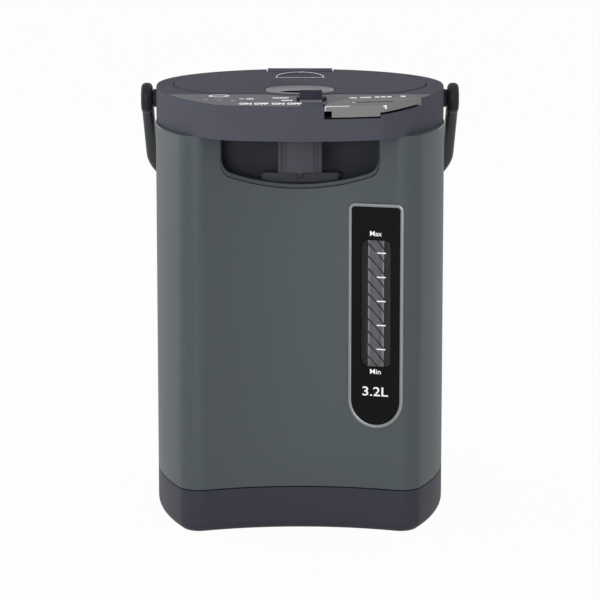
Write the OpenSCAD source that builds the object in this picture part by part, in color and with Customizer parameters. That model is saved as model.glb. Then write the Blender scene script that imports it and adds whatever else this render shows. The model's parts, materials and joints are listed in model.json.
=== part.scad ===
/* [Body] */
// Width of the body across its sides
body_w = 216; // [208:1:222]
// Height of the painted shell between base and head
shell_h = 262; // [250:1:300]
// Sheet thickness of the painted shell
shell_t = 1.2; // [0.8:0.1:1.6]
// Width of the flange folded inwards at each end of the shell
shell_lip = 8; // [5:0.5:9]
// Distance from the tank axis to the middle of the hollow front
front_reach = 106; // [104:0.5:110]
// Radius of the hollow front
front_bow_r = 200; // [180:5:300]
// Radius of the bowed sides ahead of the tank
side_bow_r = 228; // [215:1:250]
// Length of the straight sides ahead of the tank axis
side_run = 18; // [8:1:24]
// Radius of the two front corners
corner_r = 16; // [13:1:20]

/* [Base] */
// Height of the rubber feet below the base tray
foot_h = 1.2; // [0.8:0.1:3]
// Diameter of the rubber feet
foot_d = 20; // [12:1:22]
// Height of the base tray
base_h = 31; // [29:0.5:40]
// Wall thickness of the base tray
base_t = 2.5; // [2:0.1:3]
// Radius of the rounded bottom edge
base_round = 9; // [5:0.5:11]
// Radius of the service cover under the base
cover_r = 30; // [22:1:32]
// Width of the power inlet
inlet_w = 40; // [34:1:46]
// Height of the power inlet
inlet_h = 20; // [16:0.5:21]

/* [Head] */
// Height of the head
head_h = 25; // [24:0.5:30]
// Step between the side of the shell and the side of the head
head_inset = 1; // [0.5:0.1:2]
// Wall thickness of the head
head_t = 2.8; // [2.4:0.1:3.2]
// Distance from the tank axis to the front of the head
head_reach = 151.6; // [148:0.2:158]
// Radius of the front face of the head
head_bow_r = 175; // [165:1:190]
// Radius of the sides of the head ahead of the tank
head_side_r = 210; // [204:1:216]
// Length of the straight sides of the head ahead of the tank axis
head_side_run = 7; // [3:1:10]
// Radius of the two front corners of the head
head_corner_r = 6; // [4:0.5:9]

/* [Lid] */
// Radius of the lid
lid_r = 95; // [92:0.5:96]
// Distance from the tank axis to the straight front edge of the lid
lid_front = 70; // [66:0.5:73]
// Distance from the tank axis to the straight rear edge of the lid
lid_back = 84; // [83:0.5:86]
// Gap around the lid
lid_gap = 0.6; // [0.4:0.1:1]
// Wall thickness of the lid
lid_t = 2.4; // [2:0.1:2.8]
// Height of the lid above the head
lid_rise = 0.6; // [0:0.1:1.5]
// Depth of the plug that fills the neck of the tank
plug_h = 22; // [16:0.5:26]
// Width of the hinge block at the rear of the lid
hinge_w = 50.8; // [40:0.4:54]
// Distance of the hinge pin from the rear of the head
hinge_in = 8.5; // [8:0.1:9.5]
// Depth of the hinge pin below the top of the head
hinge_drop = 6; // [5:0.1:6.5]
// Radius of the hinge pin
hinge_pin_r = 2; // [1.5:0.1:2.2]

/* [Air pump] */
// Radius of the dished press plate
press_r = 25.3; // [22:0.1:26]
// Distance from the tank axis to the axis of the press plate
press_reach = 52; // [48:0.5:53]
// Height of the press plate above the lid
press_rise = 1.5; // [1:0.1:2.5]
// Travel of the press plate
press_travel = 6.5; // [4:0.5:7]
// Outer radius of the bellows
bellows_r = 19; // [16:0.5:19.4]
// Radius of the wire of the return spring
spring_wire_r = 0.9; // [0.6:0.1:1.2]

/* [Latch and keys] */
// Width of the lid latch
latch_w = 17.5; // [14:0.5:18]
// Height of the finger tab of the latch above the head
latch_tab_h = 6.9; // [5:0.1:9]
// Offset of the latch to the right of the middle
latch_x = 8.4; // [7:0.1:9]
// Radius of the pin of the latch
latch_pin_r = 1.5; // [1.2:0.1:1.7]
// Height of the front skirt of the dispense key
key_skirt = 8.4; // [7:0.1:9]
// Gap under the front skirt of the dispense key
key_gap = 1.2; // [1.1:0.1:1.6]
// Width of the cup lever
lever_w = 56; // [40:1:60]
// Travel of the cup lever
lever_travel = 3; // [1.5:0.5:3.5]

/* [Spout] */
// Width of the spout recess
recess_w = 115; // [100:1:116]
// Depth of the lowest point of the recess below the top of the shell
recess_drop = 40; // [36:0.5:42]
// Distance from the tank axis to the rear wall of the recess
recess_back = 88; // [86:0.5:90]
// Width of the lip around the lowest point of the recess
recess_lip = 3.8; // [2:0.2:5]
// Width of the nozzle cover
nozzle_w = 31; // [26:1:36]
// Depth of the nozzle cover from front to rear
nozzle_d = 26; // [20:1:27]
// Height of the nozzle cover below the head
nozzle_h = 24; // [20:0.5:25]
// Distance from the tank axis to the axis of the nozzle
nozzle_reach = 126; // [124:0.5:130]
// Inner radius of the spout pipe
spout_bore_r = 3; // [2:0.1:3.4]

/* [Level gauge] */
// Distance of the gauge to the right of the middle
gauge_x = 55.3; // [50:0.1:57]
// Width of the gauge
gauge_w = 40; // [36:1:42]
// Height of the gauge
gauge_h = 164.5; // [150:0.5:175]
// Height of the lowest point of the gauge above the seam of the base
gauge_lift = 46.3; // [40:0.1:55]
// Width of the gauge window
window_w = 22.2; // [18:0.2:24]
// Height of the gauge window
window_h = 95.8; // [80:0.2:104]
// Height of the window above the lowest point of the gauge
window_lift = 44.5; // [40:0.5:50]
// Outer radius of the sight tube
sight_r = 5.7; // [4.5:0.1:6.2]

/* [Tank] */
// Outer radius of the tank
tank_r = 88; // [84:0.5:89]
// Sheet thickness of the tank
tank_t = 1; // [0.6:0.1:1.4]
// Inner radius of the neck of the tank
neck_r = 64; // [58:0.5:64.5]
// Height of the tank floor above the base tray's underside
tank_lift = 85; // [82:0.5:92]
// Height of the neck, from the shoulder to the rim
neck_h = 46; // [44:0.5:50]

/* [Electric pump] */
// Distance of the pump to the right of the middle
pump_x = 30; // [26:0.5:32]
// Distance from the tank axis forward to the pump axis
pump_reach = 62; // [60:0.5:64]
// Radius of the pump chamber
chamber_r = 23; // [20:0.5:24]
// Radius of the pump motor
motor_r = 16; // [13:0.5:18]

/* [Bail handle] */
// Gap between the side of the body and the arms of the bail
bail_gap = 2.8; // [2:0.1:6]
// Length from the pivot to the outer edge of the grip
bail_len = 164; // [160:1:190]
// Thickness of the bail seen from the front
bail_t = 8.5; // [7:0.1:9]
// Height of the arms and the grip
bail_h = 14; // [10:0.5:18]
// Outer radius of the two bends of the bail
bail_bend_r = 81; // [60:1:90]
// Angle at which the bail hangs below level behind the body
bail_hang = 34.5; // [28:0.5:35]
// Distance from the tank axis forward to the pivots
pivot_reach = 10; // [8:0.5:14]
// Depth of the pivots below the top of the head
pivot_drop = 9.8; // [9:0.1:12]
// Radius of the pivot pins
pivot_r = 4; // [3:0.1:5]

/* [Hidden] */
$fn = 96;

// Clearances
seat = 0.1;      // pieces seated on each other
snug = 0.02;     // a pin pressed into its ear
run = 0.06;      // a pin that turns in its bore
loose = 0.4;     // a piece that moves past another
far = 400;       // longer than anything here
cut = 1;         // how far a cutting solid runs past a face

// Levels
tray_floor_t = 3;
seam_z = foot_h + base_h;
head_z = seam_z + shell_h;
top_z = head_z + head_h;
floor_z = foot_h + tray_floor_t;

// Colours
shell_grey = [0.33, 0.37, 0.38];
head_grey = [0.24, 0.24, 0.27];
deck_grey = [0.42, 0.43, 0.45];
black = [0.06, 0.06, 0.07];
dark = [0.16, 0.16, 0.18];
silver = [0.62, 0.62, 0.6];
steel = [0.75, 0.76, 0.77];
brass = [0.78, 0.62, 0.3];
rubber = [0.1, 0.1, 0.1];
silicone = [0.85, 0.85, 0.82];
board_green = [0.1, 0.35, 0.2];
glass = [0.75, 0.85, 0.9, 0.4];
wool = [0.85, 0.8, 0.62];

// Plane geometry
function pol(r, a) = [r * cos(a), r * sin(a)];
function arc(c, r, a0, a1, n) = [for (i = [0:n]) c + pol(r, a0 + (a1 - a0) * i / n)];
function bearing(from, to) = atan2(to[1] - from[1], to[0] - from[0]);
function rounded_off(v) = round(v * 100) / 100;
function mirrored(p) = [for (i = [len(p) - 1:-1:0]) [-p[i][0], p[i][1]]];
// Where two circles meet, on the left (side = 1) or right (side = -1) of the way from a to b
function meet(a, ra, b, rb, side) =
    let (d = norm(b - a), u = (b - a) / d, m = (ra * ra - rb * rb + d * d) / (2 * d))
    a + u * m + side * sqrt(ra * ra - m * m) * [-u[1], u[0]];

// Plan of the body: round rear, bowed sides, round front corners, hollow front
body_r = body_w / 2;
front_c = [0, -front_reach - front_bow_r];
side_c = [body_r - side_bow_r, -side_run];
corner_c = meet(side_c, side_bow_r - corner_r, front_c, front_bow_r + corner_r, 1);
function body_half(d) = concat(
    arc(front_c, front_bow_r + d, 90, bearing(front_c, corner_c), 7),
    arc(corner_c, corner_r - d, bearing(corner_c, front_c) + 6, bearing(side_c, corner_c), 8),
    arc(side_c, side_bow_r - d, bearing(side_c, corner_c) * 0.85, 0, 6));
function body_plan(d) = concat(
    body_half(d), arc([0, 0], body_r - d, 0, 180, 36),
    [for (p = mirrored(body_half(d))) if (p[0] < -seat) p]);
function front_y(x) = front_c[1] + sqrt(front_bow_r * front_bow_r - x * x);

// Plan of the head: the same round rear, a crowned front that overhangs the body
head_r = body_r - head_inset;
crown_c = [0, head_bow_r - head_reach];
head_side_c = [head_r - head_side_r, -head_side_run];
head_corner_c = meet(head_side_c, head_side_r - head_corner_r, crown_c, head_bow_r - head_corner_r, -1);
function head_half(d) = concat(
    arc(crown_c, head_bow_r - d, -90, bearing(crown_c, head_corner_c), 6),
    arc(head_corner_c, head_corner_r - d, bearing(crown_c, head_corner_c) + 6,
        bearing(head_side_c, head_corner_c), 4),
    arc(head_side_c, head_side_r - d, bearing(head_side_c, head_corner_c) * 0.9, 0, 9));
function head_plan(d) = concat(
    head_half(d), arc([0, 0], head_r - d, 0, 180, 36),
    [for (p = mirrored(head_half(d))) if (p[0] < -seat) p]);

// The model is moved so that its box is centred over the origin
rear_y = -pivot_reach + bail_len * cos(bail_hang) + bail_h / 2 * sin(bail_hang);
mid_y = (rear_y - head_reach) / 2;
module placed() { translate([0, -mid_y, 0]) children(); }

module prism(points, z0, z1) { translate([0, 0, z0]) linear_extrude(z1 - z0) polygon(points); }
module box(x0, x1, y0, y1, z0, z1) { translate([x0, y0, z0]) cube([x1 - x0, y1 - y0, z1 - z0]); }
module rod(r, z0, z1) { translate([0, 0, z0]) cylinder(r = r, h = z1 - z0); }
module rod_x(r, x0, x1) { translate([x0, 0, 0]) rotate([0, 90, 0]) cylinder(r = r, h = x1 - x0); }
module rod_y(r, y0, y1) { translate([0, y1, 0]) rotate([90, 0, 0]) cylinder(r = r, h = y1 - y0); }
module pipe(r, bore, z0, z1) { difference() { rod(r, z0, z1); rod(bore, z0 - cut, z1 + cut); } }
// A profile drawn in X and Z, run along Y
module along_y(y0, y1) { translate([0, y1, 0]) rotate([90, 0, 0]) linear_extrude(y1 - y0) children(); }
// A profile drawn in Y and Z, run along X
module along_x(x0, x1) {
    translate([x0, 0, 0]) rotate([90, 0, 90]) linear_extrude(x1 - x0) children();
}
module rounded(w, d, r) {
    square([w - 2 * r, d], center = true);
    square([w, d - 2 * r], center = true);
    for (x = [-1, 1], y = [-1, 1]) translate([x * (w / 2 - r), y * (d / 2 - r)]) circle(r);
}
// A bent tube in the X-Z plane: starts at the origin going up and turns towards +X
module bend_up(bend_r, angle, r, bore) {
    translate([bend_r, 0, 0]) rotate([90, 0, 0]) rotate([0, 0, 180 - angle])
        rotate_extrude(angle = angle) translate([bend_r, 0]) difference() { circle(r); circle(bore); }
}

// ---- Base ----
cover_at = [36, 20];
cover_t = 2;
foot_sunk = 0.8;
feet_at = [[-64, -84], [64, -84], [-52, 70], [52, 70]];
post_angles = [35, 145, 250];
post_reach = 80;
post_r = 4;
head_screw_r = 3.4;
head_screw_t = 1.8;
screw_r = 1.4;
post_screw_h = 10;
inlet_z = foot_h + base_h / 2 + 1;
inlet_face = sqrt(body_r * body_r - inlet_w * inlet_w / 4) - 0.2;
inlet_depth = 24;
inlet_wall = 3;
socket_depth = 14;
board_at = [-45, 5];
board_size = [80, 70];
board_t = 1.6;
board_z = floor_z + 8;
board_top = board_z + board_t - seat;
board_inset = 5;
board_posts = [for (x = [-1, 1], y = [-1, 1])
    [x * (board_size[0] / 2 - board_inset), y * (board_size[1] / 2 - board_inset)]];
transformer = [32, 28, 22];
capacitor_r = 8;
capacitor_h = 22.4;

// How far the rounded bottom edge stands back at a height above the underside
function edge_in(z) = base_round - sqrt(base_round * base_round - pow(base_round - min(z, base_round), 2));
edge_steps = 6;
edge_levels = [for (i = [0:edge_steps]) base_round * (1 - cos(90 * i / edge_steps))];

module tray_block() {
    rings = concat([for (z = edge_levels) [edge_in(z), foot_h + z]], [[0, seam_z]]);
    count = len(body_plan(0));
    last = (len(rings) - 1) * count;
    middle = last + count;
    points = concat([for (ring = rings) for (p = body_plan(ring[0])) [p[0], p[1], ring[1]]],
        [[0, 0, rings[0][1]], [0, 0, seam_z]]);
    polyhedron(points, concat(
        [for (i = [0:count - 1]) [i, (i + 1) % count, middle]],
        [for (k = [0:len(rings) - 2]) for (i = [0:count - 1])
            [k * count + i, (k + 1) * count + i, (k + 1) * count + (i + 1) % count,
                k * count + (i + 1) % count]],
        [for (i = [0:count - 1]) [last + (i + 1) % count, last + i, middle + 1]]));
}

module at_posts() { for (a = post_angles) rotate([0, 0, a]) translate([post_reach, 0, 0]) children(); }

module base_tray() {
    ledge = shell_lip + seat;
    color(dark) difference() {
        union() {
            difference() {
                tray_block();
                prism(body_plan(edge_in(tray_floor_t) + base_t), floor_z, foot_h + base_round);
                prism(body_plan(base_t), foot_h + base_round - seat, seam_z + cut);
            }
            difference() {
                prism(body_plan(base_t - seat), seam_z - 2, seam_z);
                prism(body_plan(ledge + 2), seam_z - 3, seam_z + cut);
            }
            difference() {
                prism(body_plan(ledge), seam_z - 1, seam_z + 3);
                prism(body_plan(ledge + 2), seam_z - 3, seam_z + 4);
            }
            for (p = board_posts) translate(board_at + p) rod(3, floor_z - cut, board_z);
        }
        for (p = feet_at) translate(p) rod(foot_d / 2 + seat, 0, foot_h + foot_sunk);
        translate(cover_at) rod(cover_r + seat, 0, foot_h + cover_t);
        translate(cover_at) rod(cover_r - 3, 0, floor_z + cut);
        at_posts() rod(head_screw_r + seat, 0, foot_h + head_screw_t);
        at_posts() rod(screw_r + seat, 0, floor_z + cut);
        along_y(inlet_face - inlet_depth - cut, far / 2) translate([0, inlet_z])
            rounded(inlet_w + 2 * seat, inlet_h + 2 * seat, 3);
    }
}

module base_cover() {
    color(dark) translate(cover_at) {
        rod(cover_r, foot_h, foot_h + cover_t - seat);
        pipe(cover_r - 3 - seat, cover_r - 5, foot_h + cover_t - 0.5, floor_z + 1);
    }
}

module rubber_feet() {
    color(rubber) for (p = feet_at) translate(p) rod(foot_d / 2, 0, foot_h + foot_sunk);
}

module base_screws() {
    color(steel) at_posts() {
        rod(head_screw_r, foot_h + 0.3, foot_h + head_screw_t);
        rod(screw_r, foot_h + 1, floor_z + post_screw_h);
    }
}

module power_inlet() {
    color(black) along_y(inlet_face - inlet_depth, inlet_face) translate([0, inlet_z])
        difference() {
            rounded(inlet_w, inlet_h, 3);
            rounded(inlet_w - 2 * inlet_wall, inlet_h - 2 * inlet_wall, 1.5);
        }
    color(black) along_y(inlet_face - inlet_depth, inlet_face - socket_depth) translate([0, inlet_z])
        difference() {
            square([inlet_w - inlet_wall, inlet_h - inlet_wall], center = true);
            for (x = [-1, 1]) translate([x * inlet_w / 5, 0]) circle(2 + snug);
        }
}

module inlet_pins() {
    color(brass) for (x = [-1, 1]) translate([x * inlet_w / 5, 0, inlet_z])
        rod_y(2, inlet_face - inlet_depth - 6, inlet_face - 4);
}

module power_board() {
    color(board_green) translate([board_at[0] - board_size[0] / 2, board_at[1] - board_size[1] / 2, board_z])
        cube([board_size[0], board_size[1], board_t]);
    color(dark) translate([board_at[0] - transformer[0] + 2, board_at[1] - transformer[1] / 2, board_top])
        cube(transformer);
    color(dark) for (y = [-1, 1]) translate([board_at[0] + board_size[0] / 4 + 2, board_at[1] + 21 * y, 0])
        rod(capacitor_r, board_top, board_top + capacitor_h);
}

// ---- Body shell ----
gauge_turn = -asin(gauge_x / front_bow_r);
gauge_low = seam_z + gauge_lift;
gauge_high = gauge_low + gauge_h;
gauge_top_r = 5;
gauge_border = 2.1;
gauge_proud = 1.7;
gauge_back = 1.5;
function gauge_shape(d) = concat(
    arc([0, gauge_low + gauge_w / 2], gauge_w / 2 - d, 180, 360, 20),
    arc([gauge_w / 2 - gauge_top_r, gauge_high - gauge_top_r], gauge_top_r - d, 0, 90, 5),
    arc([gauge_top_r - gauge_w / 2, gauge_high - gauge_top_r], gauge_top_r - d, 90, 180, 5));
module at_gauge() { translate([gauge_x, front_y(gauge_x), 0]) rotate([0, 0, gauge_turn]) children(); }

recess_low = head_z - recess_drop;
recess_sag_r = 148;
recess_side_lip = 0.9;
liner_t = 2;
rim_depth = 3.5;
// Outline of the spout recess, stood in at its sides and raised at its lowest point
function recess_shape(side, raise) = let (
        half = recess_w / 2 - side, bend = 4.1 + raise / 5, turn = asin((half - bend) / recess_sag_r),
        side_z = recess_low + raise + recess_sag_r * (1 - cos(turn)) + 5.5)
    concat([[-half, side_z]],
        [for (i = [-8:8]) [recess_sag_r * sin(turn * i / 8),
            recess_low + raise + recess_sag_r * (1 - cos(turn * i / 8))]],
        [[half, side_z], [half, head_z + 0.5], [-half, head_z + 0.5]]);

module body_shell() {
    color(shell_grey) difference() {
        prism(body_plan(0), seam_z, head_z);
        prism(body_plan(shell_t), seam_z + shell_t, head_z - shell_t);
        prism(body_plan(shell_lip), seam_z - cut, head_z + cut);
        at_gauge() along_y(-12, 12) polygon(gauge_shape(-seat));
        along_y(-far, -recess_back) polygon(recess_shape(0, 0));
        intersection() {
            along_y(-far, -recess_back + liner_t + seat)
                polygon(recess_shape(-liner_t - seat, -liner_t - seat));
            prism(body_plan(shell_t), seam_z, head_z + cut);
        }
    }
}

// ---- Head ----
hood_t = 2;
ledge_z = head_z + hood_t;
ledge_t = 2.2;
seal_t = 1.4;
rim_z = ledge_z + ledge_t + seal_t + tank_t;
bead_r = neck_r + tank_t + 5;
ledge_hole_r = neck_r + tank_t + 1.5;
gasket_t = 1.2;
pan_z = rim_z + gasket_t;
pan_t = 2.4;
lid_z = top_z + lid_rise;
skin_t = 2.6;
bulge_r = press_r + 3.2;
wall_t = 2.4;

hinge_y = head_r - hinge_in;
hinge_z = top_z - hinge_drop;
block_rise = 0.8;
barrel_r = lid_z + block_rise - hinge_z;
// The rear edge of the lid swings this far back as it passes the top of the head
rear_gap = hinge_y - sqrt(pow(hinge_y - lid_back, 2) - pow(top_z - hinge_z, 2)) - lid_back + 0.25;
slot_w = hinge_w + 1.6;
ear_t = 6;
panel_t = 1.2;

// Outline of the lid, stood in by d
function lid_shape(d) = let (
        r = lid_r - d, front = lid_front - d, back = lid_back - d, b = bulge_r - d,
        low = asin(front / r), high = asin(back / r), open = asin((front - press_reach) / b))
    concat(arc([0, 0], r, -low, high, 22), arc([0, 0], r, 180 - high, 180 + low, 22),
        arc([0, -press_reach], b, 180 + open, 360 - open, 16));

// Dispense key, at the right front corner of the head
key_bend_r = 50;
key_c = head_corner_c + [11.5, -11];
key_top = top_z + 0.4;
key_low = key_top - key_skirt;
key_floor = key_low - key_gap;
key_t = 2;
key_side_gap = 0.4;
well_t = 1.2;
stem_at = [50, -118];
slot_l = 31;
slot_t = 2.2;
function key_shape(g) = concat([[far, key_c[1] + key_bend_r + g]],
    arc(key_c, key_bend_r + g, 90, 180, 16), [[key_c[0] - key_bend_r - g, -far], [far, -far]]);

// Latch pocket ahead of the lid
latch_y = -90;
latch_z = top_z - 4.2;
latch_side = 2.1;
hook_w = 4.2;
hook_gap = 1.3;
latch_front = -125;
latch_hub_r = 3.2;
latch_rear = latch_y + 1.2;
pocket_x0 = latch_x - latch_w / 2 - latch_side;
pocket_x1 = latch_x + latch_w / 2 + latch_side;
pocket_y0 = latch_front - 1;
pocket_y1 = latch_y + latch_hub_r + 0.2;
pocket_z = top_z - 11.4;
pocket_t = 1.5;

boss_r = 6.8;
pin_hold = 3;
nozzle_wall = 2;
hose_z = head_z + 8;
board_hang_z = top_z - head_t - 7;
control_at = [-92, -126];
control_size = [54, 42];
control_posts = [[-84, -88], [-42, -100], [-60, -120]];
lamps_at = [[-68, -108], [-58, -111], [-48, -114]];
lamp_r = 1.8;
front_of_lid = -lid_front - lid_gap - wall_t;

module front_panel(inset, z0, z1) {
    difference() {
        intersection() {
            prism(head_plan(inset), z0, z1);
            box(-far, far, -far, front_of_lid, z0 - cut, z1 + cut);
        }
        prism(lid_shape(-lid_gap - wall_t), z0 - cut, z1 + cut);
        prism(key_shape(key_side_gap + well_t + seat), z0 - cut, z1 + cut);
        box(pocket_x0, pocket_x1, pocket_y0, pocket_y1, z0 - cut, z1 + cut);
        for (p = lamps_at) translate(p) rod(lamp_r + seat, z0 - cut, z1 + cut);
    }
}

module latch_pocket() {
    difference() {
        box(pocket_x0 - pocket_t, pocket_x1 + pocket_t, pocket_y0 - pocket_t, pocket_y1 + pocket_t,
            pocket_z, top_z - panel_t - seat);
        box(pocket_x0, pocket_x1, pocket_y0, pocket_y1, pocket_z + pocket_t, top_z + cut);
        box(pocket_x0, pocket_x1, latch_y - 4, pocket_y1, pocket_z - cut, top_z);
    }
}

module hinge_slot() {
    half = slot_w / 2;
    intersection() {
        prism(head_plan(0.5), head_z, top_z - seat);
        union() {
            box(-half - wall_t, half + wall_t, lid_back - 4, far, ledge_z, ledge_z + ledge_t);
            for (side = [-1, 1]) {
                box(min(side * half, side * (half + wall_t)), max(side * half, side * (half + wall_t)),
                    lid_back + rear_gap, far, ledge_z, top_z - seat);
                box(min(side * half, side * (half + ear_t)), max(side * half, side * (half + ear_t)),
                    hinge_y - 5, hinge_y + 5, hinge_z - 6, top_z - seat);
            }
        }
    }
}

module head_housing() {
    half = slot_w / 2;
    color(head_grey) difference() {
        union() {
            difference() {
                prism(head_plan(0), head_z, top_z);
                prism(head_plan(head_t), head_z - cut, top_z - head_t);
            }
            difference() {
                intersection() {
                    prism(lid_shape(-lid_gap - wall_t), ledge_z, top_z - seat);
                    prism(head_plan(1), ledge_z - cut, top_z);
                }
                prism(lid_shape(-lid_gap), ledge_z + ledge_t, top_z + cut);
            }
            hinge_slot();
            latch_pocket();
            for (p = control_posts) translate(p)
                rod(2.5, board_hang_z + board_t, top_z - head_t + seat);
        }
        rod(ledge_hole_r, ledge_z - cut, ledge_z + ledge_t + cut);
        prism([for (p = lid_shape(-lid_gap)) p + [0, p[1] > 0 ? rear_gap - lid_gap : 0]],
            ledge_z + ledge_t, top_z + cut);
        box(-slot_w / 2 - wall_t - 16, slot_w / 2 + wall_t + 16, lid_back - 2, lid_back + rear_gap,
            ledge_z + ledge_t, top_z + cut);
        box(-half, half, lid_back - 4, far, ledge_z + ledge_t, top_z + cut);
        translate([0, hinge_y, hinge_z])
            rod_x(hinge_pin_r + snug, -half - ear_t + 1, half + ear_t - 1);
        front_panel(0.7, top_z - panel_t, top_z + cut);
        front_panel_holes();
        box(pocket_x0, pocket_x1, pocket_y0, pocket_y1, pocket_z + pocket_t, top_z + cut);
        box(latch_x - 5, latch_x + 5, pocket_y1 - cut, -press_reach, latch_z - 10.5, latch_z - 2);
        translate([0, latch_y, latch_z])
            rod_x(latch_pin_r + snug, pocket_x0 - pocket_t + 0.3, pocket_x1 + pocket_t - 0.3);
        prism(key_shape(key_side_gap + well_t + seat), key_floor, top_z + cut);
        for (side = [0, 1]) mirror([side, 0, 0]) translate([0, -pivot_reach, top_z - pivot_drop])
            rod_x(pivot_r + snug, head_r - head_t - pin_hold, far / 2);
    }
}
module front_panel_holes() {
    for (p = lamps_at) translate(p) rod(lamp_r + seat, top_z - head_t - cut, top_z + cut);
}

module control_deck() { color(deck_grey) front_panel(0.8, top_z - panel_t, top_z); }

module hood_floor() {
    color(head_grey) difference() {
        intersection() {
            prism(head_plan(head_t + seat), head_z, head_z + hood_t);
            box(-far, far, -far, -recess_back + liner_t, head_z - cut, ledge_z + cut);
        }
        translate([0, -nozzle_reach, head_z - cut]) linear_extrude(hood_t + 2 * cut)
            rounded(nozzle_w - 2 + 2 * seat, nozzle_d - 2 + 2 * seat, 3);
        translate(hose_top) rod(pipe_r + 0.5, head_z - cut, ledge_z + cut);
    }
}

module control_board() {
    color(board_green) intersection() {
        box(control_at[0], control_at[0] + control_size[0], control_at[1], control_at[1] + control_size[1],
            board_hang_z, board_hang_z + board_t);
        prism(head_plan(head_t + 1), head_z, top_z);
        difference() {
            rod(far / 2, head_z, top_z);
            prism(lid_shape(-lid_gap - wall_t - 1), head_z - cut, top_z + cut);
        }
    }
}

module indicator_lamps() {
    color([0.9, 0.5, 0.2]) for (p = lamps_at) translate(p) rod(lamp_r, board_hang_z + board_t, top_z + 0.1);
}

module key_body(d, inset, z0, z1) {
    intersection() { prism(head_plan(inset), z0, z1); prism(key_shape(-d), z0 - cut, z1 + cut); }
}

module key_well() {
    color(black) difference() {
        union() {
            key_body(-key_side_gap - well_t, key_t + key_side_gap, key_floor, key_floor + 2);
            difference() {
                key_body(-key_side_gap - well_t, 0.05, key_floor, top_z);
                key_body(-key_side_gap, -cut, key_floor - cut, top_z + cut);
            }
        }
        translate(stem_at) rod(3 + loose, key_floor - cut, key_floor + 3);
    }
}

module dispense_key() {
    left = key_c[0] - key_bend_r;
    color(silver) difference() {
        union() {
            difference() {
                key_body(0, 0, key_low, key_top);
                key_body(key_t, key_t, key_low - cut, key_top - key_t);
                prism(head_plan(key_t), key_low - cut, key_low + 2.8);
            }
            translate(stem_at) rod(3, key_floor - 0.6, key_top - key_t + seat);
        }
        box(left - cut, left + 5, -far, -far / 4, key_low - cut, key_low + 4.5);
        along_x(head_corner_c[0] + 1, far) polygon([[-145, key_low - cut], [-142, key_low + 2.8],
            [key_c[1] + key_bend_r, key_low + 4.5], [key_c[1] + key_bend_r, key_low - cut]]);
        at_window() translate([0, 0, key_top - 0.6]) linear_extrude(cut + 1)
            square([slot_l, slot_t], center = true);
    }
}
module at_window() { translate([key_c[0] - 15.9, key_c[1] + 22, 0]) rotate([0, 0, 11]) children(); }
module key_window() {
    color(black) at_window() translate([-slot_l / 2 + seat, -slot_t / 2 + seat, key_top - 0.6])
        cube([slot_l - 2 * seat, slot_t - 2 * seat, 0.5]);
}

module key_switch() {
    color(dark) translate([stem_at[0], stem_at[1], 0]) {
        box(-6, 6, -6, 6, key_floor - 6.5, key_floor - 1.9);
        for (side = [0, 1]) mirror([side, 0, 0]) box(5.9, 8, -6, 6, key_floor - 6.5, key_floor);
    }
}

module lid_latch() {
    x0 = latch_x - latch_w / 2;
    x1 = latch_x + latch_w / 2;
    tab_y = latch_front + 13.5;
    color([0.2, 0.2, 0.24]) difference() {
        union() {
            along_x(x0, x1) polygon([
                [latch_front, top_z - 2.4], [latch_front, top_z + 0.3],
                [tab_y, top_z + 0.3], [tab_y + 1.5, top_z + latch_tab_h],
                [tab_y + 11.5, top_z + latch_tab_h - 0.4], [tab_y + 13, top_z + 0.3],
                [latch_rear, top_z + 0.3], [latch_rear, latch_z - 2], [latch_y - 3.5, latch_z - 2],
                [latch_y - 5, top_z - 2.4]]);
            translate([0, latch_y, latch_z]) rod_x(latch_hub_r, x0, x1);
            box(latch_x - hook_w, latch_x + hook_w, latch_y, -press_reach - bulge_r + 1.9,
                latch_z - 5.5, latch_z - 3);
            box(latch_x - hook_w, latch_x + hook_w, latch_y - 2.4, latch_y + 1.5, latch_z - 5.5, latch_z);
        }
        translate([0, latch_y, latch_z]) rod_x(latch_pin_r + run, x0 - cut, x1 + cut);
        box(x1 - 5.4, x1 - 1.6, latch_y - 4.4, latch_y + 4.4, latch_z - 8, latch_z + 4.5);
        prism(lid_shape(-hook_gap), head_z, top_z);
    }
}
module latch_pin() {
    color(steel) translate([0, latch_y, latch_z])
        rod_x(latch_pin_r, pocket_x0 - pocket_t + 0.3, pocket_x1 + pocket_t - 0.3);
}
module latch_spring() {
    color(steel) translate([latch_x + latch_w / 2 - 5.1, latch_y, latch_z]) rotate([0, 90, 0])
        coil_tube(latch_pin_r + 0.9, 0.5, 3.2, 0.35);
}
// A closed coil: rounded windings on a thin tube
module coil_tube(r, wire, height, web) {
    turns = floor((height - 2 * wire) / (1.7 * wire));
    step = turns > 0 ? (height - 2 * wire) / turns : 0;
    rotate_extrude() {
        for (i = [0:turns]) translate([r, wire + i * step]) circle(wire, $fn = 12);
        translate([r - web / 2, wire]) square([web, height - 2 * wire]);
    }
}

// ---- Lid ----
vent_w = 37.8;
vent_y0 = 32;
vent_y1 = 74;
vent_t = 1.6;
chimney_at = [0, 46];
screws_at = [[-80, -18], [80, -18], [-78, 28], [78, 28]];
screw_boss_r = 3.4;
vent_bow = 14;
function vent_shape(d) = concat(
    [[-vent_w / 2 + d, vent_y0 + d], [vent_w / 2 - d, vent_y0 + d]],
    [for (i = [0:14]) [(vent_w / 2 - d) * cos(180 * i / 14),
        vent_y1 - vent_bow + (vent_bow - d) * sin(180 * i / 14)]]);

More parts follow.
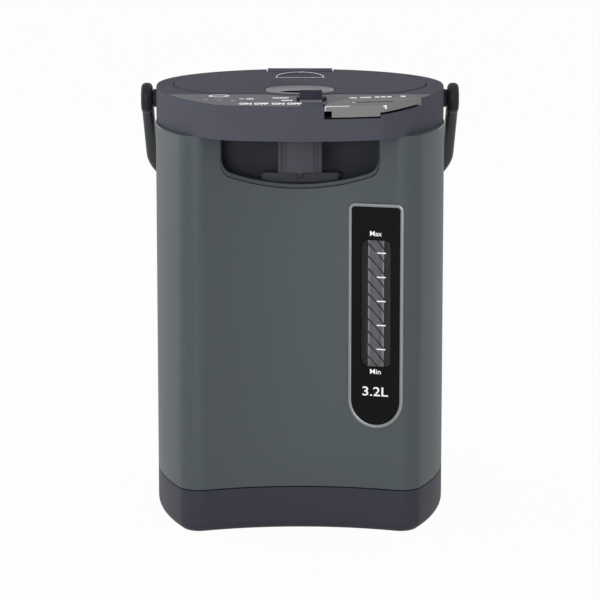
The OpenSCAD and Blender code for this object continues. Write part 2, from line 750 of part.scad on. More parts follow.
module lid_cover() {
    half = hinge_w / 2;
    color(head_grey) difference() {
        union() {
            difference() {
                prism(lid_shape(0), pan_z, lid_z);
                prism(lid_shape(lid_t), pan_z - cut, lid_z - skin_t);
                box(-far, far, lid_back - 1.5, far, pan_z - cut, lid_z - skin_t);
            }
            difference() {
                intersection() {
                    prism(lid_shape(0), pan_z, lid_z - seat);
                    box(-far, far, lid_back - 4, lid_back - 1.5, pan_z, lid_z - seat);
                }
                box(-half + 2, half - 2, lid_back - 5, lid_back, pan_z + 5.5, lid_z - skin_t);
            }
            along_x(-half, half) polygon(concat(
                arc([hinge_y, hinge_z], barrel_r, -90, 90, 12),
                [[lid_back - 3, lid_z + block_rise], [lid_back - 3, hinge_z - barrel_r]]));
            translate([0, -press_reach, 0]) pipe(press_r + 2.2, press_r + loose, lid_z - 8, lid_z - seat);
            for (p = screws_at) translate(p) rod(screw_boss_r, pan_z + pan_t, lid_z - skin_t + seat);
        }
        translate([0, -press_reach, 0]) rod(press_r + loose, lid_z - 9, lid_z + cut);
        translate([0, hinge_y, hinge_z]) rod_x(hinge_pin_r + run, -half - cut, half + cut);
        prism(vent_shape(-seat), lid_z - vent_t, lid_z + cut);
        translate(chimney_at) rod(6.5, lid_z - skin_t - cut, lid_z + cut);
        for (p = screws_at) translate(p) rod(screw_r + snug, pan_z, lid_z - skin_t - 1);
    }
}

module steam_vent() {
    color(head_grey) difference() {
        prism(vent_shape(0), lid_z - vent_t, lid_z);
        prism(vent_shape(2.2), lid_z - vent_t + 0.8, lid_z + cut);
        for (i = [-2:2]) box(-9, 9, chimney_at[1] + i * 2.2 - 0.5, chimney_at[1] + i * 2.2 + 0.5,
            lid_z - 3, lid_z + cut);
    }
}

module lid_base() {
    top_r = neck_r - 1.5;
    low_r = neck_r - 4.5;
    color(dark) difference() {
        union() {
            difference() {
                prism(lid_shape(lid_t + seat), pan_z, pan_z + pan_t);
                box(-far, far, lid_back - 4 - seat, far, pan_z - cut, pan_z + 5);
            }
            rotate_extrude() polygon([[top_r - 2, pan_z + seat], [top_r, pan_z + seat],
                [low_r, pan_z - plug_h], [low_r - 2, pan_z - plug_h]]);
            translate(chimney_at) rod(8, pan_z - plug_h, lid_z - skin_t - seat);
        }
        translate(chimney_at) rod(5, pan_z - plug_h - cut, lid_z);
        translate([0, -42, 0]) rod(2.5, pan_z - cut, pan_z + 5);
        for (p = screws_at) translate(p) rod(screw_r + 0.2, pan_z - cut, pan_z + pan_t + cut);
    }
}
module inner_lid_plate() {
    color(steel) difference() {
        rod(neck_r - 4.6, pan_z - plug_h - 1.2, pan_z - plug_h);
        translate(chimney_at) rod(4, pan_z - plug_h - 2, pan_z);
        translate([0, -42, 0]) rod(2.5, pan_z - plug_h - 2, pan_z);
    }
}
module lid_gasket() { color(silicone) pipe(bead_r - 1.5, neck_r - 1.3, rim_z, pan_z); }
module lid_screws() {
    color(steel) for (p = screws_at) translate(p) {
        rod(2.6, pan_z - 1.6, pan_z);
        rod(screw_r, pan_z - cut, lid_z - skin_t - 2);
    }
}
module lid_hinge_pin() {
    color(steel) translate([0, hinge_y, hinge_z])
        rod_x(hinge_pin_r, -slot_w / 2 - ear_t + 1, slot_w / 2 + ear_t - 1);
}

press_z = lid_z + press_rise;
press_t = 4.5;
skirt_gap = 0.9;
module press_plate() {
    dish = 3.2;
    edge = 1.6;
    color(dark) translate([0, -press_reach, 0]) {
        rotate_extrude() polygon(concat([[0, press_z - press_t], [press_r, press_z - press_t],
            [press_r, press_z - 0.5], [press_r - 0.5, press_z], [press_r - edge, press_z]],
            [for (i = [8:-1:0]) [(press_r - edge - 0.6) * i / 8,
                press_z - dish + (dish - 0.4) * pow(i / 8, 5)]]));
        pipe(press_r, press_r - 2, pan_z + pan_t + press_travel + skirt_gap, press_z - press_t + seat);
    }
}
module pump_bellows() {
    low = pan_z + pan_t;
    high = press_z - press_t;
    folds = 4;
    step = (high - low - 1.2) / folds;
    color(silicone) translate([0, -press_reach, 0]) rotate_extrude() polygon(concat(
        [[14.5, low], [bellows_r, low], [bellows_r, low + 0.6]],
        [for (i = [0:folds - 1]) each [[bellows_r - 2.6, low + 0.6 + step * (i + 0.5)],
            [bellows_r, low + 0.6 + step * (i + 1)]]],
        [[bellows_r, high], [14.5, high], [14.5, high - 0.6], [bellows_r - 1, high - 0.6]],
        [for (i = [folds - 1:-1:0]) each [[bellows_r - 3.6, low + 0.6 + step * (i + 0.5)],
            [bellows_r - 1, low + 0.6 + step * i]]],
        [[14.5, low + 0.6]]));
}
module pump_spring() {
    color(steel) translate([0, -press_reach, pan_z + pan_t])
        coil_tube(10, spring_wire_r, press_z - press_t - pan_z - pan_t, 0.5);
}

// ---- Spout ----
module recess_liner() {
    color(black) difference() {
        intersection() {
            along_y(-far, -recess_back + liner_t) polygon(recess_shape(-liner_t, -liner_t));
            prism(body_plan(shell_t + seat), recess_low - 9, head_z);
        }
        along_y(-far, -recess_back) polygon(recess_shape(0, 0));
        for (x = [-1, 1]) translate([x * stem_x, 0, lever_z]) rod_y(2.5 + loose, -far / 2, 0);
    }
}
module recess_rim() {
    color(shell_grey) difference() {
        intersection() {
            along_y(-far, 0) polygon(recess_shape(seat, seat));
            prism(body_plan(-0.3), recess_low - 9, head_z);
        }
        prism(body_plan(rim_depth), recess_low - 9 - cut, head_z + cut);
        along_y(-far, 0) polygon(recess_shape(recess_side_lip, recess_lip));
    }
}
module nozzle_cover() {
    low = head_z - nozzle_h;
    color(dark) translate([0, -nozzle_reach, 0]) difference() {
        union() {
            translate([0, 0, low]) linear_extrude(nozzle_h) rounded(nozzle_w, nozzle_d, 4);
            translate([0, 0, low + 3]) linear_extrude(nozzle_h + 0.5) rounded(nozzle_w - 2, nozzle_d - 2, 3);
        }
        translate([0, 0, low + nozzle_wall]) linear_extrude(nozzle_h + 4)
            rounded(nozzle_w - 2 * nozzle_wall, nozzle_d - 2 * nozzle_wall, 2);
        rod(pipe_r + seat, low - cut, low + 4);
    }
}
pipe_r = spout_bore_r + 1;
hose_r = pipe_r + 1.2;
hose_side = 3.3;
hose_top = [recess_w / 2 + liner_t + hose_r + hose_side, -94];
spout_at = [0, -nozzle_reach];
hose_turn = bearing(spout_at, hose_top);
hose_run = rounded_off(norm(hose_top - spout_at));
elbow_r = 8;
module spout_pipe() {
    color(steel) translate(spout_at) rotate([0, 0, hose_turn]) {
        pipe(pipe_r, spout_bore_r, head_z - nozzle_h - 2, hose_z - elbow_r);
        translate([0, 0, hose_z - elbow_r]) bend_up(elbow_r, 90, pipe_r, spout_bore_r);
        translate([elbow_r, 0, hose_z]) rotate([0, 90, 0])
            pipe(pipe_r, spout_bore_r, 0, hose_run - 2 * elbow_r);
        translate([hose_run, 0, hose_z - elbow_r]) mirror([1, 0, 0])
            bend_up(elbow_r, 90, pipe_r, spout_bore_r);
        translate([hose_run, 0, 0]) pipe(pipe_r, spout_bore_r, hose_top_z + 2, hose_z - elbow_r);
    }
}
lever_z = recess_low + 7.2;
lever_h = 8;
lever_y = -100;
lever_t = 3;
stem_x = lever_w / 2 - 9;
stem_end = -recess_back + liner_t + 3.7;
switch_y = stem_end + lever_travel + 0.5;
switch_t = 2.8;
module cup_lever() {
    color(dark) {
        box(-lever_w / 2, lever_w / 2, lever_y, lever_y + lever_t,
            lever_z - lever_h / 2, lever_z + lever_h / 2);
        for (x = [-1, 1]) translate([x * stem_x, 0, lever_z])
            rod_y(2.5, lever_y + lever_t - seat, stem_end);
        translate([0, 0, lever_z + 1.4]) rod_y(2.3, lever_y - 0.8, lever_y + 1);
    }
}
module cup_switch() {
    near = -recess_back + liner_t;
    half = stem_x + 8;
    color(black) {
        box(-half, half, switch_y, switch_y + switch_t, lever_z - 5, lever_z + 5);
        for (side = [0, 1]) mirror([side, 0, 0])
            box(half - 2.5, half, near, switch_y + 1, lever_z - 5, lever_z + 5);
    }
}

// ---- Level gauge ----
sight_depth = sight_r + 5.2;
sight_y = front_y(gauge_x) + sight_depth;
sight_at = [gauge_x, sight_y];
sight_back = sight_depth * cos(gauge_turn);
sight_low = gauge_low + 13.5;
window_low = gauge_low + window_lift;
well_end = 6;
sleeve_h = 7;
sight_high = window_low + window_h + well_end + sleeve_h + 3.2;
swing_r = rounded_off(norm(hose_top - sight_at) / 2);
hose_top_z = sight_high + 2 + 2 * swing_r;
window_r = 4.6;
module window_profile(grow) {
    translate([0, window_low + window_h / 2]) rounded(window_w + 2 * grow, window_h + 2 * grow, window_r);
}
module gauge_bezel() {
    color([0.55, 0.55, 0.56]) at_gauge() along_y(-gauge_proud, gauge_back) difference() {
        polygon(gauge_shape(0));
        polygon(gauge_shape(gauge_border));
    }
}
module gauge_fascia() {
    color(black) at_gauge() along_y(-gauge_proud + 0.5, gauge_back) difference() {
        polygon(gauge_shape(gauge_border + seat));
        window_profile(0);
    }
}
module gauge_window() { color(glass) at_gauge() along_y(-0.9, 0.7) window_profile(-seat); }
module gauge_well() {
    half = window_w / 2 + 2;
    back = sight_back + sight_r + 1.5;
    color(silver) difference() {
        at_gauge() union() {
            along_y(gauge_back, gauge_back + 1.5) polygon(gauge_shape(-3));
            box(-half - 1.5, half + 1.5, gauge_back + cut, back + 1.5,
                window_low - well_end, window_low + window_h + well_end);
        }
        at_gauge() box(-half, half, -cut, back,
            window_low - well_end + 2, window_low + window_h + well_end - 2);
        translate(sight_at) rod(sight_r + 0.3, sight_low - cut, sight_high + cut);
        prism_outside();
    }
}
// Everything outside the inner face of the shell
module prism_outside() {
    difference() {
        box(-far, far, -far, -60, seam_z, head_z);
        prism(body_plan(shell_t + 0.05), seam_z - cut, head_z + cut);
    }
}
module sight_tube() {
    color(glass) translate(sight_at) pipe(sight_r, sight_r - 1.5, sight_low, sight_high);
}

// ---- Tank ----
tank_z = foot_h + tank_lift;
neck_z = rim_z - neck_h;
wall_z = neck_z - 14;
floor_round = 4;
heater_t = 7;
thermostat_h = 6.5;
shield_z = tank_z - heater_t - thermostat_h - 1.7;
shield_r = 82;
heater_r = 55;
wrap_gap = 5.3;
pump_at = [pump_x, -pump_reach];
module inner_tank() {
    color(steel) difference() {
        union() {
            rotate_extrude() polygon([
                [0, tank_z], [tank_r - floor_round, tank_z], [tank_r, tank_z + floor_round],
                [tank_r, wall_z], [neck_r + tank_t, neck_z], [neck_r + tank_t, rim_z - tank_t],
                [bead_r, rim_z - tank_t], [bead_r, rim_z], [neck_r, rim_z], [neck_r, neck_z - 0.6],
                [tank_r - tank_t, wall_z - 0.6], [tank_r - tank_t, tank_z + floor_round + 0.4],
                [tank_r - floor_round - 0.4, tank_z + tank_t], [0, tank_z + tank_t]]);
            translate(pump_at) rod(5, tank_z - 11, tank_z + 0.5);
        }
        translate(pump_at) rod(3.6, tank_z - 12, tank_z + 2);
    }
}
module tank_seal() { color(silicone) pipe(bead_r, ledge_hole_r, ledge_z + ledge_t, rim_z - tank_t); }
module insulation_wrap() {
    color(wool) pipe(body_r - shell_t - wrap_gap, tank_r + 0.3, tank_z + 6, wall_z - 2);
}
module heater_plate() {
    color([0.6, 0.6, 0.62]) difference() {
        rod(heater_r, tank_z - heater_t, tank_z);
        translate(pump_at) rod(chamber_r - 3, tank_z - 20, tank_z + cut);
    }
}
module thermostat() {
    color(dark) translate([-20, 0, 0]) {
        rod(9, tank_z - heater_t - thermostat_h, tank_z - heater_t);
        box(6, 24, -3, 3, tank_z - heater_t - 2, tank_z - heater_t);
    }
}
module heat_shield() {
    color(steel) difference() {
        union() {
            rod(shield_r, shield_z - 1, shield_z);
            pipe(shield_r, shield_r - 1, shield_z - seat, tank_z);
        }
        translate(pump_at) rod(chamber_r - 6, shield_z - 2, shield_z + cut);
    }
}
module support_posts() {
    color(steel) at_posts() difference() {
        rod(post_r, floor_z, shield_z - 1);
        rod(screw_r + snug, floor_z - cut, floor_z + post_screw_h + 2);
    }
}

// ---- Electric pump ----
motor_h = 34;
motor_top = floor_z + motor_h;
chamber_z = motor_top + 5;
chamber_h = 17;
chamber_top = chamber_z + chamber_h;
inlet_hose_low = chamber_top + 1;
riser_turn = bearing(pump_at, sight_at);
riser_run = rounded_off(norm(sight_at - pump_at));
riser_z = chamber_z + chamber_h / 2;
riser_bend = 13;
riser_pipe = 3.5;
sleeve_r = sight_r + 1.4;
module pump_motor() {
    color(steel) translate(pump_at) {
        rod(motor_r, floor_z, motor_top);
        rod(2, motor_top - cut, motor_top + 0.4);
        for (a = [45, 225]) rotate([0, 0, a]) {
            translate([motor_r + 1.5, 0, 0]) rod(2.5, motor_top - 4, chamber_z);
            box(motor_r - 2, motor_r + 1.5, -2, 2, motor_top - 4, motor_top);
        }
    }
}
module motor_magnet() {
    color(dark) translate(pump_at) difference() {
        rod(12, motor_top + 0.5, motor_top + 4.4);
        rod(1, motor_top, motor_top + 2);
    }
}
module pump_chamber() {
    color(dark) difference() {
        translate(pump_at) union() {
            rod(chamber_r, chamber_z, chamber_top);
            rod(6, chamber_top - cut, chamber_top + 6);
            rotate([0, 0, riser_turn]) translate([0, 0, riser_z])
                rod_x(riser_pipe, chamber_r - 2, chamber_r + 6);
        }
        translate(pump_at) union() {
            rod(chamber_r - 3, chamber_z + 1.5, chamber_top - 3);
            rod(3.6, chamber_top - 4, chamber_top + 7);
            rotate([0, 0, riser_turn]) translate([0, 0, riser_z]) rod_x(2.3, chamber_r - 5, chamber_r + 7);
        }
    }
}
module pump_impeller() {
    color(silicone) translate(pump_at) {
        rod(chamber_r - 4, chamber_z + 1.8, chamber_z + 4);
        rod(4, chamber_z + 3, chamber_z + 11);
        for (i = [0:5]) rotate([0, 0, 60 * i])
            box(2, chamber_r - 5, -0.7, 0.7, chamber_z + 3.5, chamber_z + 11);
    }
}
module inlet_hose() {
    color(silicone) translate(pump_at)
        pipe(7.8, 6.05, inlet_hose_low, tank_z - 3);
}
module riser_hose() {
    $fn = 48;
    bore = riser_pipe + 0.05;
    start = chamber_r + 0.5;
    straight = riser_run - riser_bend;
    color(silicone) translate([pump_at[0], pump_at[1], 0]) rotate([0, 0, riser_turn]) {
        translate([0, 0, riser_z]) rotate([0, 90, 0]) pipe(bore + 1.5, bore, start, straight);
        translate([riser_run, 0, riser_z + riser_bend]) rotate([180, 0, 0]) mirror([1, 0, 0])
            bend_up(riser_bend, 90, bore + 1.5, bore);
        translate([riser_run, 0, 0]) pipe(bore + 1.5, bore, riser_z + riser_bend, sight_low - 1.5);
        translate([riser_run, 0, 0]) pipe(sleeve_r, bore, sight_low - 2, sight_low);
        translate([riser_run, 0, 0]) pipe(sleeve_r, sight_r + 0.05, sight_low - seat, sight_low + sleeve_h);
    }
}
module spout_hose() {
    $fn = 48;
    bore = pipe_r + 0.05;
    color(silicone) translate(sight_at) rotate([0, 0, bearing(sight_at, hose_top)]) {
        pipe(sleeve_r, sight_r + 0.05, sight_high - sleeve_h, sight_high);
        pipe(sleeve_r, bore, sight_high, sight_high + 2);
        translate([0, 0, sight_high + 2]) bend_up(swing_r, 90, hose_r, bore);
        translate([2 * swing_r, 0, hose_top_z]) rotate([180, 0, 0]) mirror([1, 0, 0])
            bend_up(swing_r, 90, hose_r, bore);
        translate([2 * swing_r, 0, 0]) pipe(hose_r, bore, hose_top_z, hose_top_z + 14);
    }
}

// ---- Bail ----
arm_out = body_r + bail_gap + bail_t;
pin_cap = 1.6;
function bail_half(d) = arc([arm_out - bail_bend_r, bail_len - bail_bend_r], bail_bend_r - d, 0, 90, 14);
module bail_handle() {
    eye_r = 11.5;
    outer = concat([[arm_out, 0]], bail_half(0), mirrored(bail_half(0)), [[-arm_out, 0]]);
    inner = concat([[arm_out - bail_t, -cut]], bail_half(bail_t), mirrored(bail_half(bail_t)),
        [[bail_t - arm_out, -cut]]);
    color([0.2, 0.21, 0.22]) translate([0, -pivot_reach, top_z - pivot_drop]) rotate([-bail_hang, 0, 0])
        difference() {
            union() {
                translate([0, 0, -bail_h / 2]) linear_extrude(bail_h) difference() {
                    polygon(outer);
                    polygon(inner);
                }
                for (side = [0, 1]) mirror([side, 0, 0]) rod_x(eye_r, arm_out - bail_t, arm_out);
            }
            rod_x(pivot_r + run, -far / 2, far / 2);
            for (side = [0, 1]) mirror([side, 0, 0]) rod_x(pivot_r + 2.4, arm_out - pin_cap - 0.2, far / 2);
        }
}
module bail_pivots() {
    color([0.2, 0.21, 0.22]) translate([0, -pivot_reach, top_z - pivot_drop])
        for (side = [0, 1]) mirror([side, 0, 0]) {
            rod_x(pivot_r, head_r - head_t - pin_hold, arm_out - 0.2);
            rod_x(boss_r, head_r, arm_out - bail_t - 0.3);
            rod_x(pivot_r + 2, arm_out - pin_cap, arm_out - 0.1);
        }
}

placed() body_shell();
placed() base_tray();
placed() base_cover();
placed() rubber_feet();
placed() base_screws();
placed() head_housing();
placed() hood_floor();
placed() control_deck();
placed() control_board();
placed() indicator_lamps();
placed() key_well();
placed() dispense_key();
placed() key_window();
placed() key_switch();
placed() lid_latch();
placed() latch_pin();
placed() latch_spring();
placed() lid_cover();
placed() lid_base();
placed() inner_lid_plate();
placed() lid_gasket();
placed() lid_screws();
placed() steam_vent();
placed() lid_hinge_pin();
placed() press_plate();
placed() pump_bellows();
placed() pump_spring();
placed() recess_liner();
placed() recess_rim();
placed() nozzle_cover();
placed() spout_pipe();
placed() cup_lever();
placed() cup_switch();
placed() gauge_bezel();
placed() gauge_fascia();
placed() gauge_window();
placed() gauge_well();
placed() sight_tube();
placed() inner_tank();
placed() tank_seal();
placed() insulation_wrap();
placed() heater_plate();
placed() thermostat();
placed() heat_shield();
placed() support_posts();
placed() pump_motor();
placed() motor_magnet();
placed() pump_chamber();
placed() pump_impeller();
placed() inlet_hose();
placed() riser_hose();
placed() spout_hose();
placed() power_board();
placed() power_inlet();
placed() inlet_pins();
placed() bail_handle();
placed() bail_pivots();
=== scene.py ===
import json
from math import asin, atan2, cos, degrees, pi, radians, sin, sqrt, tan

import bmesh
import bpy
from mathutils import Matrix, Vector


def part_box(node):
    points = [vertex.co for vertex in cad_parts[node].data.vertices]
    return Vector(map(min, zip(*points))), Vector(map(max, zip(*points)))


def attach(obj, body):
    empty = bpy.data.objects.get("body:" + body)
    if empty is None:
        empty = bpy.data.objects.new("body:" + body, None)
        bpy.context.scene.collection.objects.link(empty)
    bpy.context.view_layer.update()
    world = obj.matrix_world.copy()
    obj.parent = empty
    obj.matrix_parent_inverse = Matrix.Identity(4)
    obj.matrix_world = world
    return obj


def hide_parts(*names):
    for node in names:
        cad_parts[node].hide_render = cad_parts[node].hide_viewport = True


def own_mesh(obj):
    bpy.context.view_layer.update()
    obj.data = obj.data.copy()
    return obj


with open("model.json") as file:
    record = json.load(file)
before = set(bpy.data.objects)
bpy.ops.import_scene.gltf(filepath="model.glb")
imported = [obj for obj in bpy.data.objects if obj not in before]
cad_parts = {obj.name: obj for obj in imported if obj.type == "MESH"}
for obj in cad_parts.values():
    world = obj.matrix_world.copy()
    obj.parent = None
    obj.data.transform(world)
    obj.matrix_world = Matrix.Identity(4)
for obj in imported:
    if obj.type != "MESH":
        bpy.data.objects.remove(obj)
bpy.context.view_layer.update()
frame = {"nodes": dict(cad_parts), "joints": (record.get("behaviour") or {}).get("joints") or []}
nodes = frame["nodes"]
print("stage: frame loaded")


# Sizes are millimetres about the axis of the tank; finished meshes go to metres in the frame
def span(node, axis=2):
    return [corner[axis] * 1000 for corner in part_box(node)]


def pick(sizes, names):
    return [sizes[name] for name in names.split()]


def at(x=0, y=0, z=0):
    return Matrix.Translation((x, y, z))


def about(axis, angle):
    return Matrix.Rotation(angle, 4, axis)


headReach = 151.6
shiftY = span("head_housing", 1)[0] + headReach
toFrame = Matrix.Scale(0.001, 4) @ at(y=shiftY)
far = 400  # past every piece
sides = (-1, 1)
seamZ, headZ = span("body_shell")
topZ = span("head_housing")[1]
lidZ = span("steam_vent")[1]
panZ = span("lid_base")[0] + 22


# Outlines in plan
def polar(radius, angle):
    turn = radians(angle)
    return Vector((radius * cos(turn), radius * sin(turn)))


def arc(centre, radius, start, end, count):
    return [Vector(centre) + polar(radius, start + (end - start) * i / count) for i in range(count + 1)]


def bearing(start, end):
    return degrees(atan2(end[1] - start[1], end[0] - start[0]))


def meet(a, radiusA, b, radiusB, side):
    way = (b - a).normalized()
    along = (radiusA ** 2 - radiusB ** 2 + (b - a).length ** 2) / (2 * (b - a).length)
    return a + way * along + side * sqrt(radiusA ** 2 - along ** 2) * Vector((-way.y, way.x))


def mirrored(points):
    return [Vector((-p.x, p.y)) for p in reversed(points)]


def closedPlan(half, rear):
    return half + arc((0, 0), rear, 0, 180, 64) + mirrored(half)[:-1]


# The body's front is hollow, with its centre ahead; rear and sides bow outwards
bodySizes = {"rear": 108.0, "sideBow": 228.0, "sideRun": 18.0, "corner": 16.0, "front": 106.0,
             "frontBow": 200.0}
rear, sideBow, sideRun, corner, frontBow = pick(bodySizes, "rear sideBow sideRun corner frontBow")
frontC, sideC = Vector((0, -bodySizes["front"] - frontBow)), Vector((rear - sideBow, -sideRun))
cornerC = meet(sideC, sideBow - corner, frontC, frontBow + corner, 1)


def bodyPlan(inset):
    rear, sideBow, corner = pick(bodySizes, "rear sideBow corner")
    half = (arc(frontC, frontBow + inset, 90, bearing(frontC, cornerC), 16)
            + arc(cornerC, corner - inset, bearing(cornerC, frontC), bearing(sideC, cornerC), 14)[1:]
            + arc(sideC, sideBow - inset, bearing(sideC, cornerC), 0, 14)[1:])
    return closedPlan(half, rear - inset)


def frontY(x):
    return frontC.y + sqrt(frontBow ** 2 - x * x)


headSizes = {"rear": 108.0, "crown": 175.0, "sideBow": 210.0, "sideRun": 7.0, "corner": 6.0}
rear, crown, sideBow, sideRun, corner = pick(headSizes, "rear crown sideBow sideRun corner")
crownC, headSideC = Vector((0, crown - headReach)), Vector((rear - sideBow, -sideRun))
headCornerC = meet(headSideC, sideBow - corner, crownC, crown - corner, -1)


def headPlan(inset):
    rear, sideBow, corner = pick(headSizes, "rear sideBow corner")
    start, end = bearing(crownC, headCornerC), bearing(headSideC, headCornerC)
    half = (arc(crownC, crown - inset, -90, start, 20) + arc(headCornerC, corner - inset, start, end, 10)[1:]
            + arc(headSideC, sideBow - inset, end, 0, 16)[1:])
    return closedPlan(half, rear - inset)


def crownY(x):
    return crownC.y - sqrt(crown ** 2 - x * x)


lidSizes = {"radius": 95.0, "front": 70.0, "back": 84.0, "pressY": -52.0, "bulge": 28.5, "gap": 0.6}
pressY = lidSizes["pressY"]
pressPlace = (0, pressY, 0)


def lidPlan(inset):
    radius, bulge, front, back = [size - inset for size in pick(lidSizes, "radius bulge front back")]
    low, high = degrees(asin(front / radius)), degrees(asin(back / radius))
    turn = degrees(asin((front + pressY) / bulge))
    return (arc((0, 0), radius, -low, high, 40) + arc((0, 0), radius, 180 - high, 180 + low, 40)
            + arc((0, pressY), bulge, 180 + turn, 360 - turn, 30))


keySizes = {"bend": 50.0, "top": topZ + 0.4, "skirt": 8.4, "gap": 1.2, "wall": 2.0, "well": 1.2,
            "sideGap": 0.4, "skin": 2.4, "stem": (50, -118), "stemHole": 3.4, "edge": 0.6, "cutGap": 0.1}
keyC = headCornerC + Vector((11.5, -11))
keyLow, keyRear = keySizes["top"] - keySizes["skirt"], keyC.y + keySizes["bend"]
keyCut = -keySizes["sideGap"] - keySizes["well"] - keySizes["cutGap"]


def keyPlan(inset):
    bend = keySizes["bend"] - inset
    return ([Vector((far, keyC.y + bend))] + arc(keyC, bend, 90, 180, 24)
            + [Vector((keyC.x - bend, -far)), Vector((far, -far))])


ventSizes = {"width": 37.8, "front": 32.0, "back": 74.0, "bow": 39.0, "chimneyY": 46.0}


def ventPlan(inset):
    width, front, back, bow = pick(ventSizes, "width front back bow")
    half, angles = width / 2 - inset, [pi * i / 24 for i in range(25)]
    rear = [Vector((half * cos(a), back - bow + (bow - inset) * sin(a))) for a in angles]
    return [Vector((x, front + inset)) for x in (-half, half)] + rear


# Outlines of the front, as X and Z
gaugeSizes = {"x": 55.3, "low": seamZ + 46.3, "height": 166.2, "width": 41.6, "topR": 5.0, "border": 2.6,
              "proud": 1.7, "windowLow": 45.7, "windowW": 22.2, "windowH": 93.4, "windowR": 4.6, "tubeR": 5.7}
gaugeTurn = -asin(gaugeSizes["x"] / frontBow)
gaugeFrame = at(gaugeSizes["x"], frontY(gaugeSizes["x"])) @ about("Z", gaugeTurn)
windowLow, windowH = gaugeSizes["low"] + gaugeSizes["windowLow"], gaugeSizes["windowH"]


def gaugeOutline(inset):
    low, height, width, radius = pick(gaugeSizes, "low height width topR")
    half, top = width / 2, low + height - radius
    side = half - radius
    return (arc((0, low + half), half - inset, 180, 360, 40) + arc((side, top), radius - inset, 0, 90, 8)
            + arc((-side, top), radius - inset, 90, 180, 8))


def windowOutline(inset):
    half, radius = gaugeSizes["windowW"] / 2, gaugeSizes["windowR"]
    points = []
    for x, z, start in ((1, 0, 270), (1, 1, 0), (-1, 1, 90), (-1, 0, 180)):
        centre = (x * (half - radius), windowLow + radius + z * (windowH - 2 * radius))
        points += arc(centre, radius - inset, start, start + 90, 6)
    return points


recessSizes = {"half": 57.5, "low": headZ - 40.0, "sag": 148.0, "sideLip": 0.9, "lowLip": 3.8, "back": -88.0,
               "bend": 7.0, "rise": 9.5, "steps": (0.14, 0.28, 0.42, 0.56, 0.7, 0.85, 1)}


# From the head down one side of the recess, along its hollow floor and up the other side
def recessPath(side, lift):
    half, low, sag, bend, rise, steps = pick(recessSizes, "half low sag bend rise steps")
    half, low, bend = half - side, low + lift, bend + lift / 5
    turn = degrees(asin((half - bend) / sag))
    floor = arc((0, low + sag), sag, -90, -90 + turn, 14)
    end = floor[-1]
    slope = tan(radians(turn))
    knee, top = [Vector((half, end.y + slope * bend + z)) for z in (0, rise)]
    corner = [end.lerp(knee, t).lerp(knee.lerp(top, t), t) for t in steps]
    right = floor + corner + [Vector((half, headZ + 0.5))]
    return mirrored(right)[:-1] + right


def recessOutline(inset):
    return recessPath(inset, inset)


print("stage: outlines ready")


# Meshes are made in millimetres
def newObject(name, data):
    thing = bpy.data.objects.new(name, data)
    bpy.context.scene.collection.objects.link(thing)
    return thing


def solid(points, faces):
    mesh = bpy.data.meshes.new("part")
    mesh.from_pydata([tuple(p) for p in points], [], faces)
    return squared(newObject("part", mesh))


def squared(thing, weld=0.0005):
    work = bmesh.new()
    work.from_mesh(thing.data)
    bmesh.ops.remove_doubles(work, verts=work.verts, dist=weld)
    bmesh.ops.dissolve_degenerate(work, edges=work.edges, dist=weld)
    bmesh.ops.recalc_face_normals(work, faces=work.faces)
    work.to_mesh(thing.data)
    work.free()
    return thing


def loft(rings, wrap=False):
    count = len(rings[0])
    points = [p for ring in rings for p in ring]
    faces = []
    for k in range(len(rings) if wrap else len(rings) - 1):
        here, there = k * count, (k + 1) % len(rings) * count
        for i in range(count):
            j = (i + 1) % count
            faces.append((here + i, here + j, there + j, there + i))
    if not wrap:
        faces.append(tuple(reversed(range(count))))
        faces.append(tuple(range(len(points) - count, len(points))))
    return solid(points, faces)


# A profile is pairs of inset and height
def stacked(plan, profile, wrap=False):
    return loft([[(p.x, p.y, z) for p in plan(inset)] for inset, z in profile], wrap)


def ringed(plan, section, level):
    return stacked(plan, [(inset, level + z) for inset, z in section], wrap=True)


def prism(plan, inset, low, high):
    return stacked(plan, [(inset, low), (inset, high)])


# An outline in X and Z, run along Y through the listed pairs of inset and depth
def plate(outline, profile):
    return loft([[(p.x, y, p.y) for p in outline(inset)] for inset, y in profile])


# An outline in Y and Z, run along X
def bar(outline, start, end):
    return loft([[(x, p[0], p[1]) for p in outline] for x in (start, end)])


def box(x0, x1, y0, y1, z0, z1):
    return loft([[(x0, y0, z), (x1, y0, z), (x1, y1, z), (x0, y1, z)] for z in (z0, z1)])


turns = {"Z": Matrix(), "X": about("Y", pi / 2), "Y": about("X", -pi / 2)}


def lathe(profile, place=(0, 0, 0), axis="Z", count=96, wrap=False):
    rings = [[turns[axis] @ Vector((*polar(r, 360 * i / count), z)) + Vector(place) for i in range(count)]
             for r, z in profile]
    return loft(rings, wrap)


def rod(radius, low, high, place=(0, 0, 0), axis="Z", edge=0.0, count=64):
    return lathe([(radius - inset, z) for inset, z in easedSides(low, high, edge, edge, hold=0)],
                 place, axis, count)


# A straight side with a rounded edge at each end, and a narrow flat ring that keeps the ends flat
def easedSides(low, high, lowR, highR, steps=4, hold=0.6, levels=()):
    angles = [pi / 2 * i / steps for i in range(steps + 1)]
    bottom, top = [(0, low)], [(0, high)]
    if lowR:
        bottom = [(lowR * (1 - sin(a)), low + lowR * (1 - cos(a))) for a in angles]
    if highR:
        top = [(highR * (1 - cos(a)), high - highR * (1 - sin(a))) for a in angles]
    start = [(lowR + hold, low)] if lowR and hold else []
    end = [(highR + hold, high)] if highR and hold else []
    return start + bottom + [(0, z) for z in levels] + top + end


def evaluated(thing):
    graph = bpy.context.evaluated_depsgraph_get()
    return bpy.data.meshes.new_from_object(thing.evaluated_get(graph))


def applied(thing):
    mesh = evaluated(thing)
    thing.modifiers.clear()
    thing.data = mesh
    return thing


